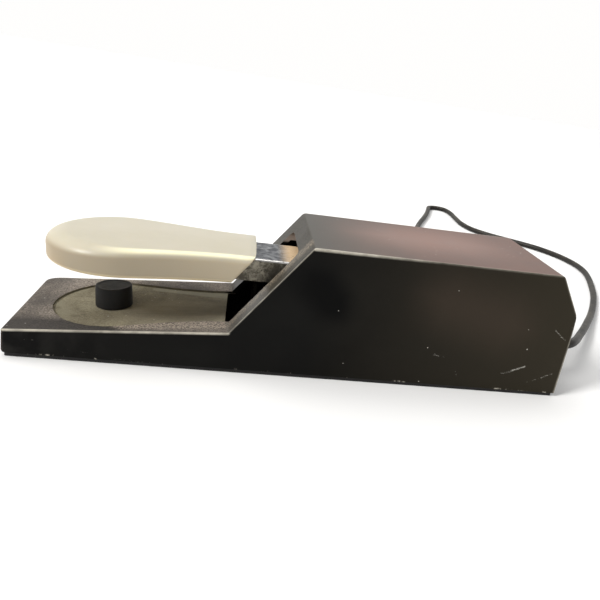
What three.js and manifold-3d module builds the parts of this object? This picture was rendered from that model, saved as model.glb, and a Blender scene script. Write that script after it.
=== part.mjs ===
// Piano-style sustain pedal: a sprung paddle in a wedge-shaped housing, with switch, cord and jack plug.
// Millimetres. +X runs from the toe to the cord end, +Y to the left of the player, +Z up.
// The origin is on the floor, under the middle of the pedal.
import * as THREE from 'three';
import * as BufferGeometryUtils from 'three/addons/utils/BufferGeometryUtils.js';
import Module from 'manifold-3d';

const wasm = await Module();
wasm.setup();

// ---- driving dimensions ----
const LENGTH = 258;
const WIDTH = 70;
const HEIGHT = 62.4;
const GAP = 0.3; // clearance between neighbouring pieces

const MAT_THICKNESS = 1.5;
const SHELL_BOTTOM = MAT_THICKNESS + GAP;
const WALL = 2.2;
const PLATE_THICKNESS = 2;
const PLATE_TOP = SHELL_BOTTOM + PLATE_THICKNESS;
const FLOOR = PLATE_TOP + GAP; // where pieces stand on the base plate

const TOE_HEIGHT = 12.3;
const RAMP_FOOT = [94, 19.1]; // distance from the toe, height
const RAMP_TOP = 127.2;
const REAR_TOP = 246;
const REAR_BULGE = [LENGTH, 41.7];
const REAR_BOTTOM = 255.7;
const TOE_CORNER_NEAR = 2; // radii of the housing's corners in plan
const TOE_CORNER_FAR = 8;
const REAR_CORNER = 2;

const RECESS_DEPTH = 1;
const RECESS_END = 92;
const OPENING_HALF_WIDTH = 20.5;
const OPENING_TOP = 55.5;
const LIP_DEPTH = 10; // of the lip round the top of the opening, inside the housing

const PADDLE_TOP = 51.6;
const PADDLE_BOTTOM = 38.2;
const PADDLE_EDGE_RADIUS = 3;
const LEVER_TOP = 49;
const LEVER_HALF_WIDTH = 15.5;
const SHEET = 1.5; // thickness of the lever's pressed steel
const FLANGE_BOTTOM = 38.2;
const PIVOT = [205, 44.2];
const PIN_RADIUS = 2.5;

const BUMPER_AT = 39.3;
const BUMPER_RADIUS = 8.4;
const BUMPER_HEIGHT = 9.9;

const SPRING_AT = 150;
const SWITCH_AT = 185; // where the switch's plunger stands
const SWITCH_TOP = 36;

const CORD_DIAMETER = 4.8;
const CORD_HEIGHT = 14; // of the cord's axis where it leaves the housing
const COIL_CENTRE = [76, 90];
const COIL_RADIUS = 27; // to the middle of the turns
const COIL_TURNS_WIDE = 2;
const COIL_TURNS_HIGH = 3;
const COIL_BASE = 1.4;
const PLUG_RADIUS = 7;
const PLUG_AT = [38, 62];

const SCREW_PLACES = [[14, 27], [108, 28.6], [242, 28.6]]; // distances from the toe and from the middle
const SCREW_RADIUS = 1.45;
const SCREW_HEAD_RADIUS = 2.8;
const SCREW_LENGTH = 7.5;

const object = new THREE.Group();
const at = (station) => station - LENGTH / 2; // distance from the toe to X

// ---- materials ----
function paint(color, roughness, metalness) {
  return new THREE.MeshStandardMaterial({ color, roughness, metalness });
}

const blackPaint = paint(0x24211f, 0.5, 0.2);
const rubber = paint(0x17171a, 0.8, 0);
const steel = paint(0x9a9a98, 0.4, 0.9);
const chrome = paint(0xd8d8d6, 0.12, 1);
const frosted = paint(0xe6ddc6, 0.45, 0);
const nylon = paint(0xd9d5c8, 0.6, 0);
const blackPlastic = paint(0x1d1d1f, 0.5, 0);
const springSteel = paint(0x8a8a88, 0.35, 0.9);
const brass = paint(0xc7a35a, 0.35, 0.9);
const felt = paint(0x6b6a63, 0.95, 0);

function add(name, geometry, material) {
  const mesh = new THREE.Mesh(geometry, material);
  mesh.name = name;
  object.add(mesh);
  return mesh;
}

// ---- solids ----
function signedVolume(positions, index) {
  const corner = [new THREE.Vector3(), new THREE.Vector3(), new THREE.Vector3()];
  let volume = 0;
  for (let i = 0; i < index.length; i += 3) {
    corner.forEach((c, k) => c.fromArray(positions, index[i + k] * 3));
    volume += corner[0].dot(corner[1].cross(corner[2])) / 6;
  }
  return volume;
}

function solid(geometry) {
  const bare = geometry.clone();
  bare.deleteAttribute('normal');
  bare.deleteAttribute('uv');
  const merged = BufferGeometryUtils.mergeVertices(bare, 1e-4);
  const triVerts = Uint32Array.from(merged.index.array);
  const vertProperties = Float32Array.from(merged.attributes.position.array);
  if (signedVolume(vertProperties, triVerts) < 0) triVerts.reverse();
  return new wasm.Manifold(new wasm.Mesh({ numProp: 3, vertProperties, triVerts }));
}

function geometryOf(body) {
  const mesh = body.getMesh();
  const geometry = new THREE.BufferGeometry();
  geometry.setAttribute('position', new THREE.BufferAttribute(mesh.vertProperties, 3));
  geometry.setIndex(new THREE.BufferAttribute(mesh.triVerts, 1));
  geometry.computeVertexNormals();
  return geometry;
}

const union = (...bodies) => bodies.reduce((sum, body) => sum.add(body));
const cut = (body, ...tools) => tools.reduce((rest, tool) => rest.subtract(tool), body);

// A box from its lowest and highest corners.
function box(low, high) {
  const size = high.map((value, k) => value - low[k]);
  const middle = high.map((value, k) => (value + low[k]) / 2);
  return solid(new THREE.BoxGeometry(...size).translate(...middle));
}

// A solid of revolution from [radius, height] pairs, its axis through the centre along the named axis.
function turned(profile, centre, axis = 'z', sides = 16) {
  const points = profile.map(([radius, height]) => new THREE.Vector2(radius, height));
  const geometry = new THREE.LatheGeometry(points, sides);
  if (axis === 'z') geometry.rotateX(Math.PI / 2);
  if (axis === 'x') geometry.rotateZ(-Math.PI / 2);
  return solid(geometry.translate(...centre));
}

function rod(radius, from, to, centre, axis = 'z', sides = 16) {
  return turned([[0, from], [radius, from], [radius, to], [0, to]], centre, axis, sides);
}

function ring(inner, outer, from, to, centre, axis = 'z', sides = 16) {
  const profile = [[inner, from], [outer, from], [outer, to], [inner, to], [inner, from]];
  return turned(profile, centre, axis, sides);
}

// An outline in XZ pushed along Y, symmetrical about the middle plane.
function sideways(shape, halfWidth) {
  const settings = { depth: 2 * halfWidth, bevelEnabled: false, curveSegments: 10 };
  const geometry = new THREE.ExtrudeGeometry(shape, settings);
  return solid(geometry.rotateX(Math.PI / 2).translate(0, halfWidth, 0));
}

// An outline in XY pushed up from one height to another.
function upward(shape, from, to, curveSegments = 10) {
  const settings = { depth: to - from, bevelEnabled: false, curveSegments };
  const geometry = new THREE.ExtrudeGeometry(shape, settings);
  return solid(geometry.translate(0, 0, from));
}

// A shape from corners [x, y, radius], each with its own rounding.
function outline(corners) {
  const shape = new THREE.Shape();
  corners.forEach(([x, y, radius = 0], i) => {
    const here = new THREE.Vector2(x, y);
    const [before, after] = [corners.at(i - 1), corners[(i + 1) % corners.length]].map(
      ([nx, ny]) => new THREE.Vector2(nx, ny).sub(here).setLength(radius),
    );
    const start = here.clone().add(before);
    const end = here.clone().add(after);
    if (i === 0) shape.moveTo(start.x, start.y);
    else shape.lineTo(start.x, start.y);
    if (radius > 0) shape.quadraticCurveTo(x, y, end.x, end.y);
  });
  shape.closePath();
  return shape;
}

// The same corners with every edge moved inwards; the corners run anticlockwise.
function inset(corners, distance) {
  const edges = corners.map(([x, y], i) => {
    const [nx, ny] = corners[(i + 1) % corners.length];
    const along = new THREE.Vector2(nx - x, ny - y).normalize();
    return { along, point: new THREE.Vector2(x - along.y * distance, y + along.x * distance) };
  });
  return corners.map(([, , radius = 0], i) => {
    const a = edges.at(i - 1);
    const b = edges[i];
    const t = b.point.clone().sub(a.point).cross(b.along) / a.along.cross(b.along);
    return [a.point.x + a.along.x * t, a.point.y + a.along.y * t, Math.max(radius - distance, 0)];
  });
}

// The housing's plan, between two distances from the toe.
const planCorners = (from, to) => [
  [at(from), -WIDTH / 2, TOE_CORNER_NEAR],
  [at(to), -WIDTH / 2, REAR_CORNER],
  [at(to), WIDTH / 2, REAR_CORNER],
  [at(from), WIDTH / 2, TOE_CORNER_FAR],
];

// The round-nosed paddle outline: tip, widest point and waist, as [station, half width].
function paddle(tip, widest, waist, end) {
  const [wideX, wide] = widest;
  const [waistX, narrow] = waist;
  const nose = (wideX - tip) * 0.38;
  const flank = (waistX - wideX) * 0.2;
  const shape = new THREE.Shape();
  shape.moveTo(at(end), -narrow);
  shape.lineTo(at(end), narrow);
  shape.lineTo(at(waistX), narrow);
  const [bend, flare] = [at(waistX - flank * 2.4), narrow + 1.6];
  shape.bezierCurveTo(bend, flare, at(wideX + flank), wide, at(wideX), wide);
  shape.bezierCurveTo(at(tip + nose), wide, at(tip), wide * 0.45, at(tip), 0);
  shape.bezierCurveTo(at(tip), -wide * 0.45, at(tip + nose), -wide, at(wideX), -wide);
  shape.bezierCurveTo(at(wideX + flank), -wide, bend, -flare, at(waistX), -narrow);
  shape.closePath();
  return shape;
}

// A tube along a smooth curve through the points.
function tube(points, radius, steps, sides) {
  const path = new THREE.CatmullRomCurve3(points.map((p) => new THREE.Vector3(...p)), false, 'centripetal');
  const section = new THREE.Shape();
  for (let i = 0; i < sides; i += 1) {
    const angle = (i / sides) * 2 * Math.PI;
    const corner = [radius * Math.cos(angle), radius * Math.sin(angle)];
    if (i === 0) section.moveTo(...corner);
    else section.lineTo(...corner);
  }
  section.closePath();
  return solid(new THREE.ExtrudeGeometry(section, { steps, bevelEnabled: false, extrudePath: path }));
}

// ---- housing ----
const HOUSING_SIDE = [
  [at(0), SHELL_BOTTOM, 2.5],
  [at(REAR_BOTTOM), SHELL_BOTTOM, 0],
  [at(REAR_BULGE[0]), REAR_BULGE[1], 4],
  [at(REAR_TOP), HEIGHT, 1.5],
  [at(RAMP_TOP), HEIGHT, 1.5],
  [at(RAMP_FOOT[0]), RAMP_FOOT[1], 0],
  [at(0), TOE_HEIGHT, 1.2],
];
const HOUSING_PLAN = planCorners(0, LENGTH);
const PLATFORM_SLOPE = (RAMP_FOOT[1] - TOE_HEIGHT) / RAMP_FOOT[0];
const platformHeight = (station) => TOE_HEIGHT + PLATFORM_SLOPE * station;

// Moves a body made for a level platform at height zero onto the sloping one, around the bumper's place.
function ontoPlatform(body) {
  const tilt = -THREE.MathUtils.radToDeg(Math.atan(PLATFORM_SLOPE));
  const height = platformHeight(BUMPER_AT);
  return body.translate([-at(BUMPER_AT), 0, 0]).rotate([0, tilt, 0]).translate([at(BUMPER_AT), 0, height]);
}

const mirrored = (places) => places.flatMap(([station, y]) => [[at(station), -y], [at(station), y]]);

function boss([x, y], top) {
  const radius = 3.6;
  const post = rod(radius, FLOOR, top, [x, y, 0]);
  const inWall = Math.sign(y) * (WIDTH / 2 - 1);
  return post.add(box([x - radius, Math.min(y, inWall), FLOOR], [x + radius, Math.max(y, inWall), top]));
}

function screwSolid(extra) {
  const start = SHELL_BOTTOM;
  return (place) => turned([
    [0, start - extra], [SCREW_HEAD_RADIUS + extra, start - extra], [SCREW_HEAD_RADIUS + extra, start + 0.3],
    [SCREW_RADIUS + extra, start + 1.6], [SCREW_RADIUS + extra, start + SCREW_LENGTH + extra],
    [0, start + SCREW_LENGTH + extra],
  ], [...place, 0], 'z', 14);
}

// How far from the toe the ramp is at a height.
function rampAt(height) {
  return RAMP_FOOT[0] + ((height - RAMP_FOOT[1]) * (RAMP_TOP - RAMP_FOOT[0])) / (HEIGHT - RAMP_FOOT[1]);
}

// The lip that stiffens the top of the opening; the opening is cut through it.
function mouthLip() {
  const [low, high] = [LEVER_TOP + 1.5, OPENING_TOP + WALL];
  const back = WALL / 2 + LIP_DEPTH;
  const side = outline([
    [at(rampAt(low) + 1), low], [at(rampAt(low) + back), low],
    [at(rampAt(high) + back), high], [at(rampAt(high) + 1), high],
  ]);
  return sideways(side, OPENING_HALF_WIDTH + WALL);
}

function housingShell() {
  const plan = (corners) => upward(outline(corners), -10, HEIGHT + 10, 6);
  const outer = sideways(outline(HOUSING_SIDE), WIDTH).intersect(plan(HOUSING_PLAN));
  const innerSide = inset(HOUSING_SIDE, WALL);
  innerSide[0] = [innerSide[0][0], -5, 0];
  innerSide[1] = [innerSide[1][0], -5, 0];
  const inner = sideways(outline(innerSide), WIDTH).intersect(plan(inset(HOUSING_PLAN, WALL)));
  const posts = mirrored(SCREW_PLACES).map((place) => boss(place, place[0] < at(20) ? 11.5 : 24));
  const mouth = new THREE.Shape();
  const [half, radius] = [OPENING_HALF_WIDTH, 4];
  mouth.moveTo(-half, 10);
  mouth.lineTo(half, 10);
  mouth.lineTo(half, OPENING_TOP - radius);
  mouth.quadraticCurveTo(half, OPENING_TOP, half - radius, OPENING_TOP);
  mouth.lineTo(radius - half, OPENING_TOP);
  mouth.quadraticCurveTo(-half, OPENING_TOP, -half, OPENING_TOP - radius);
  mouth.closePath();
  const depth = RAMP_TOP + LIP_DEPTH - RECESS_END;
  const opening = new THREE.ExtrudeGeometry(mouth, { depth, bevelEnabled: false, curveSegments: 5 });
  opening.rotateX(Math.PI / 2).rotateZ(Math.PI / 2).translate(at(RECESS_END), 0, 0);
  const recess = upward(paddle(12.4, [40, 29.6], [84, 21], RECESS_END + 6), -RECESS_DEPTH, 6, 8);
  const stemHole = rod(2.7, -8, 6, [at(BUMPER_AT), 0, 0]);
  const cordHole = rod(4.9, at(REAR_TOP), at(LENGTH) + 3, [0, 0, CORD_HEIGHT], 'x');
  return cut(
    union(cut(outer, inner), mouthLip(), ...posts),
    solid(opening),
    ontoPlatform(recess),
    ontoPlatform(stemHole),
    cordHole,
    ...mirrored(SCREW_PLACES).map(screwSolid(GAP)),
  );
}
add('housing_shell', geometryOf(housingShell()), blackPaint);

// ---- underside ----
function rubberMat() {
  const sheet = upward(outline(inset(planCorners(0.6, REAR_BOTTOM), 0.8)), 0, MAT_THICKNESS, 5);
  return cut(sheet, ...mirrored(SCREW_PLACES).map((place) => rod(3.6, -1, 3, [...place, 0])));
}
add('rubber_mat', geometryOf(rubberMat()), rubber);

// Screws that stand head up on the base plate: [station, y, height of the seat].
const PLATE_SCREWS = {
  bracket_screw_1: [205, -11, FLOOR + 2],
  bracket_screw_2: [205, 11, FLOOR + 2],
  switch_foot_screw: [184, 13, FLOOR + 1.5],
  stop_screw: [232.3, 11.5, FLOOR + 1.5],
  clamp_screw_1: [239, -9.5, FLOOR + 1.5],
};
const PLATE_SCREW_RADIUS = 1.5;

function plateScrew([station, y, seat]) {
  const head = seat + GAP;
  return turned([
    [0, SHELL_BOTTOM + GAP], [PLATE_SCREW_RADIUS, SHELL_BOTTOM + GAP], [PLATE_SCREW_RADIUS, head],
    [2.9, head], [2.9, head + 1.1], [2, head + 2], [0, head + 2],
  ], [at(station), y, 0], 'z', 12);
}

function plateScrewHole([station, y]) {
  return rod(PLATE_SCREW_RADIUS + GAP, -1, FLOOR + 6, [at(station), y, 0], 'z', 12);
}

function basePlate() {
  const plan = inset(planCorners(0, REAR_BOTTOM - 0.2), WALL + GAP);
  const sheet = upward(outline(plan), SHELL_BOTTOM, PLATE_TOP, 5);
  return cut(
    sheet,
    ...mirrored(SCREW_PLACES).map(screwSolid(GAP)),
    ...Object.values(PLATE_SCREWS).map(plateScrewHole),
  );
}
add('base_plate', geometryOf(basePlate()), steel);

for (const [i, place] of mirrored(SCREW_PLACES).entries()) {
  add(`base_screw_${i + 1}`, geometryOf(screwSolid(0)(place)), steel);
}
for (const [name, place] of Object.entries(PLATE_SCREWS)) {
  add(name, geometryOf(plateScrew(place)), steel);
}

// ---- bumper: a rubber stop held by the knob of its own stem ----
function bumper() {
  const foot = -RECESS_DEPTH + GAP;
  const under = -WALL - GAP;
  return ontoPlatform(turned([
    [0, under - 3], [1.6, under - 3], [3.5, under - 1.4], [3.5, under], [2.4, under], [2.4, foot],
    [BUMPER_RADIUS, foot], [BUMPER_RADIUS, foot + BUMPER_HEIGHT - 0.7],
    [BUMPER_RADIUS - 0.7, foot + BUMPER_HEIGHT], [0, foot + BUMPER_HEIGHT],
  ], [at(BUMPER_AT), 0, 0], 'z', 32));
}
add('bumper', geometryOf(bumper()), rubber);

// ---- pivot ----
const EAR_INNER = 17.5;
const EAR_OUTER = 19.5;
const pivotPlace = [at(PIVOT[0]), 0, PIVOT[1]];

function pivotBracket() {
  const x = at(PIVOT[0]);
  const top = PIVOT[1] + 7;
  const ear = outline([[x - 9, FLOOR, 0], [x + 9, FLOOR, 0], [x + 7, top, 6], [x - 7, top, 6]]);
  const block = sideways(ear, EAR_OUTER);
  const hollow = box([x - 30, -EAR_INNER, FLOOR + 2], [x + 30, EAR_INNER, HEIGHT]);
  return cut(
    block,
    hollow,
    rod(PIN_RADIUS + GAP, -30, 30, pivotPlace, 'y'),
    plateScrewHole(PLATE_SCREWS.bracket_screw_1),
    plateScrewHole(PLATE_SCREWS.bracket_screw_2),
  );
}
add('pivot_bracket', geometryOf(pivotBracket()), steel);

function pivotPin() {
  const [end, groove] = [EAR_OUTER + 3, EAR_OUTER + GAP];
  return turned([
    [0, -end], [PIN_RADIUS, -end], [PIN_RADIUS, -groove - 1.1], [1.9, -groove - 1.1], [1.9, -groove],
    [PIN_RADIUS, -groove], [PIN_RADIUS, groove], [1.9, groove], [1.9, groove + 1.1],
    [PIN_RADIUS, groove + 1.1],
    [PIN_RADIUS, end], [0, end],
  ], pivotPlace, 'y', 20);
}
add('pivot_pin', geometryOf(pivotPin()), steel);

function pinClip(side) {
  const from = EAR_OUTER + GAP + 0.15;
  const washer = ring(2.1, 4.4, from, from + 0.7, [0, 0, 0], 'y', 20);
  const slot = box([-1.8, 0, -6], [1.8, from + 2, 0]);
  const clip = washer.subtract(slot);
  const placed = side > 0 ? clip : clip.rotate([0, 0, 180]);
  return placed.translate(pivotPlace);
}
add('pin_clip_near', geometryOf(pinClip(-1)), springSteel);
add('pin_clip_far', geometryOf(pinClip(1)), springSteel);

const BUSH_RADIUS = 3.4;
function bush(side) {
  const [inside, outside] = [LEVER_HALF_WIDTH - SHEET - 1, LEVER_HALF_WIDTH + GAP];
  const profile = [
    [PIN_RADIUS + 0.05, inside], [BUSH_RADIUS, inside], [BUSH_RADIUS, outside], [4.8, outside],
    [4.8, outside + 1], [PIN_RADIUS + 0.05, outside + 1], [PIN_RADIUS + 0.05, inside],
  ];
  return turned(profile.map(([r, y]) => [r, side * y]), pivotPlace, 'y', 20);
}
add('bush_near', geometryOf(bush(-1)), nylon);
add('bush_far', geometryOf(bush(1)), nylon);

// ---- lever: a pressed steel channel with a paddle toe ----
const COVER_TIP = 8.7;
const COVER_WIDE = [41, 31.4];
const COVER_WAIST = [92, 22.6];
const COVER_WALL = 1.2;
const COVER_END = 103.2; // at the top of the sleeve
const COVER_LEAN = 0.777;
const LEVER_END = 226;

function shrunkPaddle(by, end) {
  const widest = [COVER_WIDE[0], COVER_WIDE[1] - by];
  const waist = [COVER_WAIST[0], COVER_WAIST[1] - by];
  return paddle(COVER_TIP + by, widest, waist, end);
}

// The plane at the sleeve's rear end leans back like the ramp; this is everything behind it.
function behindSleeve() {
  const [bottom, top] = [PADDLE_BOTTOM - 10, PADDLE_TOP + 10];
  const rear = (height) => at(COVER_END - (PADDLE_TOP - height) * COVER_LEAN);
  const side = outline([[rear(bottom), bottom], [LENGTH, bottom], [LENGTH, top], [rear(top), top]]);
  return sideways(side, WIDTH);
}

function lever() {
  const toeBottom = PADDLE_BOTTOM + COVER_WALL + GAP;
  const toeInset = 2.2 + GAP;
  const toe = cut(
    upward(shrunkPaddle(toeInset, 90), toeBottom, LEVER_TOP, 7),
    upward(shrunkPaddle(toeInset + SHEET, 91), toeBottom - 1, LEVER_TOP - SHEET, 7),
  );
  const section = [
    [-LEVER_HALF_WIDTH, FLANGE_BOTTOM, 0], [LEVER_HALF_WIDTH, FLANGE_BOTTOM, 0],
    [LEVER_HALF_WIDTH, LEVER_TOP, 1.6], [-LEVER_HALF_WIDTH, LEVER_TOP, 1.6],
  ];
  const from = 70;
  const settings = { depth: LEVER_END - from, bevelEnabled: false, curveSegments: 4 };
  const bar = new THREE.ExtrudeGeometry(outline(section), settings);
  bar.rotateX(Math.PI / 2).rotateZ(Math.PI / 2).translate(at(from), 0, 0);
  const inside = LEVER_HALF_WIDTH - SHEET;
  const groove = box([at(from) - 1, -inside, 0], [at(LEVER_END) + 1, inside, LEVER_TOP - SHEET]);
  const x = at(PIVOT[0]);
  const lug = sideways(outline([
    [x - 12, FLANGE_BOTTOM + 4, 0], [x - 5, PIVOT[1] - 10, 3],
    [x + 5, PIVOT[1] - 10, 3], [x + 12, FLANGE_BOTTOM + 4, 0],
  ]), LEVER_HALF_WIDTH);
  const step = box([at(60), -WIDTH / 2, 0], [at(94.5), WIDTH / 2, toeBottom]);
  const channel = cut(union(solid(bar), lug), groove, step);
  return cut(
    union(toe, channel),
    rod(BUSH_RADIUS + GAP, -30, 30, pivotPlace, 'y', 20),
    rod(2 + GAP, LEVER_TOP - 3, LEVER_TOP + 3, [at(SWITCH_AT), 0, 0], 'z', 12),
    rod(2 + GAP, LEVER_TOP - 3, LEVER_TOP + 3, [at(SPRING_AT), 0, 0], 'z', 12),
  );
}
add('lever', geometryOf(lever()), chrome);

function pedalCover() {
  const bevel = PADDLE_EDGE_RADIUS;
  const skin = new THREE.ExtrudeGeometry(shrunkPaddle(bevel, 120), {
    depth: PADDLE_TOP - PADDLE_BOTTOM - 2 * bevel,
    bevelEnabled: true,
    bevelThickness: bevel,
    bevelSize: bevel,
    bevelSegments: 3,
    curveSegments: 9,
  }).translate(0, 0, PADDLE_BOTTOM + bevel);
  const pocket = upward(shrunkPaddle(2.2, 130), PADDLE_BOTTOM + COVER_WALL, LEVER_TOP + GAP, 9);
  return cut(solid(skin), pocket, behindSleeve());
}
add('pedal_cover', geometryOf(pedalCover()), frosted);

// ---- return spring between a seat on the base plate and a stud on the lever ----
const SPRING_SEAT_TOP = FLOOR + 1.2;
const STUD_DISC = LEVER_TOP - SHEET - GAP - 1.2;
const springPlace = [at(SPRING_AT), 0, 0];

add('spring_seat', geometryOf(turned([
  [0, FLOOR], [8, FLOOR], [8, SPRING_SEAT_TOP], [3.9, SPRING_SEAT_TOP], [3.4, SPRING_SEAT_TOP + 5],
  [0, SPRING_SEAT_TOP + 5],
], springPlace, 'z', 20)), blackPlastic);

add('spring_stud', geometryOf(turned([
  [0, STUD_DISC - 5], [3.4, STUD_DISC - 5], [3.9, STUD_DISC], [7, STUD_DISC], [7, STUD_DISC + 1.2],
  [2, STUD_DISC + 1.2], [2, LEVER_TOP - 0.1], [0, LEVER_TOP - 0.1],
], springPlace, 'z', 20)), steel);

// The end turns lie flat, a wire's width from the next.
function returnSpring() {
  const [wire, radius, turns, perTurn] = [0.7, 5.4, 8, 10];
  const bottom = SPRING_SEAT_TOP + GAP + wire;
  const open = STUD_DISC - GAP - wire - bottom - 4 * wire;
  const points = [];
  for (let i = 0; i <= turns * perTurn; i += 1) {
    const turn = i / perTurn;
    const angle = turn * 2 * Math.PI;
    const flatTurns = Math.min(turn, 1) + Math.max(turn - turns + 1, 0);
    const climb = THREE.MathUtils.clamp((turn - 1) / (turns - 2), 0, 1);
    const height = bottom + flatTurns * 2 * wire + climb * open;
    points.push([at(SPRING_AT) + radius * Math.cos(angle), radius * Math.sin(angle), height]);
  }
  return tube(points, wire, turns * perTurn, 5);
}

// ---- switch ----
const BODY = { from: 167, to: 195, half: 5.15, bottom: 20 };
const SWITCH_SCREWS = [[171, 24], [191, 32]];

function switchBody() {
  const block = box([at(BODY.from), -BODY.half, BODY.bottom], [at(BODY.to), BODY.half, SWITCH_TOP]);
  const holes = SWITCH_SCREWS.map(([s, z]) => rod(1.5 + GAP, -20, 20, [at(s), 0, z], 'y', 12));
  const well = box([at(SWITCH_AT) - 2, -2.3, SWITCH_TOP - 4], [at(SWITCH_AT) + 2, 2.3, SWITCH_TOP + 1]);
  return cut(block, ...holes, well);
}
add('switch_body', geometryOf(switchBody()), blackPlastic);

const PLUNGER_TOP = SWITCH_TOP + 2.3;
add('switch_plunger', geometryOf(box(
  [at(SWITCH_AT) - 1.7, -2, SWITCH_TOP - 1.6],
  [at(SWITCH_AT) + 1.7, 2, PLUNGER_TOP],
)), nylon);

for (const [i, name] of ['terminal_common', 'terminal_closed', 'terminal_open'].entries()) {
  const x = at(172 + i * 9);
  add(name, geometryOf(box([x - 0.4, -2.4, BODY.bottom - 7], [x + 0.4, 2.4, BODY.bottom - GAP])), brass);
}

const BRACKET_Y = BODY.half + GAP;
function switchBracket() {
  const wall = box([at(BODY.from), BRACKET_Y, FLOOR], [at(BODY.to), BRACKET_Y + 1.5, SWITCH_TOP - 1]);
  const foot = box([at(176), BRACKET_Y, FLOOR], [at(192), BRACKET_Y + 12, FLOOR + 1.5]);
  const holes = SWITCH_SCREWS.map(([s, z]) => rod(1.5 + GAP, -20, 20, [at(s), 0, z], 'y', 12));
  return cut(union(wall, foot), ...holes, plateScrewHole(PLATE_SCREWS.switch_foot_screw));
}
add('switch_bracket', geometryOf(switchBracket()), steel);

for (const [i, [station, height]] of SWITCH_SCREWS.entries()) {
  const place = [at(station), 0, height];
  const head = BODY.half + GAP;
  add(`switch_screw_${i + 1}`, geometryOf(turned([
    [0, -head - 2], [2, -head - 2], [2.8, -head - 1.2], [2.8, -head], [1.5, -head],
    [1.5, head + 5], [0, head + 5],
  ], place, 'y', 12)), steel);
  const nut = ring(1.5 + GAP, 3.1, head + 1.8, head + 4.2, place, 'y', 6);
  add(`switch_nut_${i + 1}`, geometryOf(nut), steel);
}

add('striker_screw', geometryOf(turned([
  [0, PLUNGER_TOP + GAP], [1.2, PLUNGER_TOP + GAP], [2, PLUNGER_TOP + 1.4], [2, LEVER_TOP + GAP],
  [3.6, LEVER_TOP + GAP], [3.6, LEVER_TOP + 1.6], [2.6, LEVER_TOP + 2.4], [0, LEVER_TOP + 2.4],
], [at(SWITCH_AT), 0, 0], 'z', 16)), steel);

// ---- rest stop under the lever's tail ----
const STOP_TOP = FLANGE_BOTTOM - GAP - 2.5;
function stopBracket() {
  const [x0, x1] = [at(219), at(228)];
  const top = box([x0, -17, STOP_TOP - GAP - 1.5], [x1, 17, STOP_TOP - GAP]);
  const back = box([x1 - 1.5, -17, FLOOR], [x1, 17, STOP_TOP - GAP]);
  const foot = box([x1 - 1.5, 6.5, FLOOR], [at(237), 17, FLOOR + 1.5]);
  const window = box([x1 - 3, -12, FLOOR - 1], [x1 + 1, 3, STOP_TOP - 10]);
  return cut(union(top, back, foot), plateScrewHole(PLATE_SCREWS.stop_screw), window);
}
add('stop_bracket', geometryOf(stopBracket()), steel);
add('rest_pad', geometryOf(box([at(219.5), -16.5, STOP_TOP], [at(227.5), 16.5, STOP_TOP + 2.5])), felt);

// ---- cord inside the housing, its clamp, and the strain relief ----
const CORD_RADIUS = CORD_DIAMETER / 2;
const INNER_CORD_START = 234;
const RELIEF_BORE_END = 262;
const RELIEF_END = 271;

const cordAxis = [0, 0, CORD_HEIGHT];
const innerCord = rod(CORD_RADIUS, at(INNER_CORD_START), at(RELIEF_BORE_END), cordAxis, 'x', 12);
add('cord_inner', geometryOf(innerCord), rubber);

function cordClamp() {
  const [x0, x1] = [at(235), at(243)];
  const arch = outline([
    [-14, FLOOR, 0], [6, FLOOR, 0], [6, CORD_HEIGHT + 4.2, 4],
    [-4.6, CORD_HEIGHT + 4.2, 4], [-4.6, FLOOR + 1.5, 0],
    [-14, FLOOR + 1.5, 0],
  ]);
  const band = new THREE.ExtrudeGeometry(arch, { depth: x1 - x0, bevelEnabled: false, curveSegments: 5 });
  band.rotateX(Math.PI / 2).rotateZ(Math.PI / 2).translate(x0, 0, 0);
  return cut(
    solid(band),
    rod(CORD_RADIUS + GAP, x0 - 5, x1 + 5, [0, 0, CORD_HEIGHT], 'x', 16),
    plateScrewHole(PLATE_SCREWS.clamp_screw_1),
  );
}
add('cord_clamp', geometryOf(cordClamp()), nylon);

function strainRelief() {
  const wallInside = at(253.8);
  const wallOutside = at(256.9);
  const bore = CORD_RADIUS + GAP;
  return turned([
    [bore, wallInside - 3], [6.2, wallInside - 3], [6.2, wallInside - 0.8], [4.6, wallInside - 0.8],
    [4.6, wallOutside], [6.6, wallOutside], [6.6, wallOutside + 1.8], [4.9, wallOutside + 2.6],
    [CORD_RADIUS + 0.7, at(RELIEF_END)], [0, at(RELIEF_END)], [0, at(RELIEF_BORE_END) + GAP],
    [bore, at(RELIEF_BORE_END) + GAP], [bore, wallInside - 3],
  ], [0, 0, CORD_HEIGHT], 'x', 16);
}
add('strain_relief', geometryOf(strainRelief()), rubber);

// Two insulated leads from the switch to the cord.
function lead(from, middle, to) {
  return tube([from, ...middle, to], 0.8, 16, 6);
}
const leadEnd = at(INNER_CORD_START) - GAP;
const leadStart = BODY.bottom - 7 - GAP;
add('lead_white', geometryOf(lead(
  [at(172), -1, leadStart],
  [[at(172), -1.5, 9.5], [at(180), -6, 8.6], [at(200), -6.5, 8.6], [at(218), -5, 9], [at(228), -2, 12.5]],
  [leadEnd, -1.1, CORD_HEIGHT],
)), nylon);
add('lead_black', geometryOf(lead(
  [at(190), 1, leadStart],
  [[at(190), 0.5, 9.5], [at(197), -1.5, 8.6], [at(208), -1.5, 8.6], [at(219), 0.5, 9], [at(228), 1.6, 12.5]],
  [leadEnd, 1.1, CORD_HEIGHT],
)), rubber);

add('return_spring', geometryOf(returnSpring()), springSteel);

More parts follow.
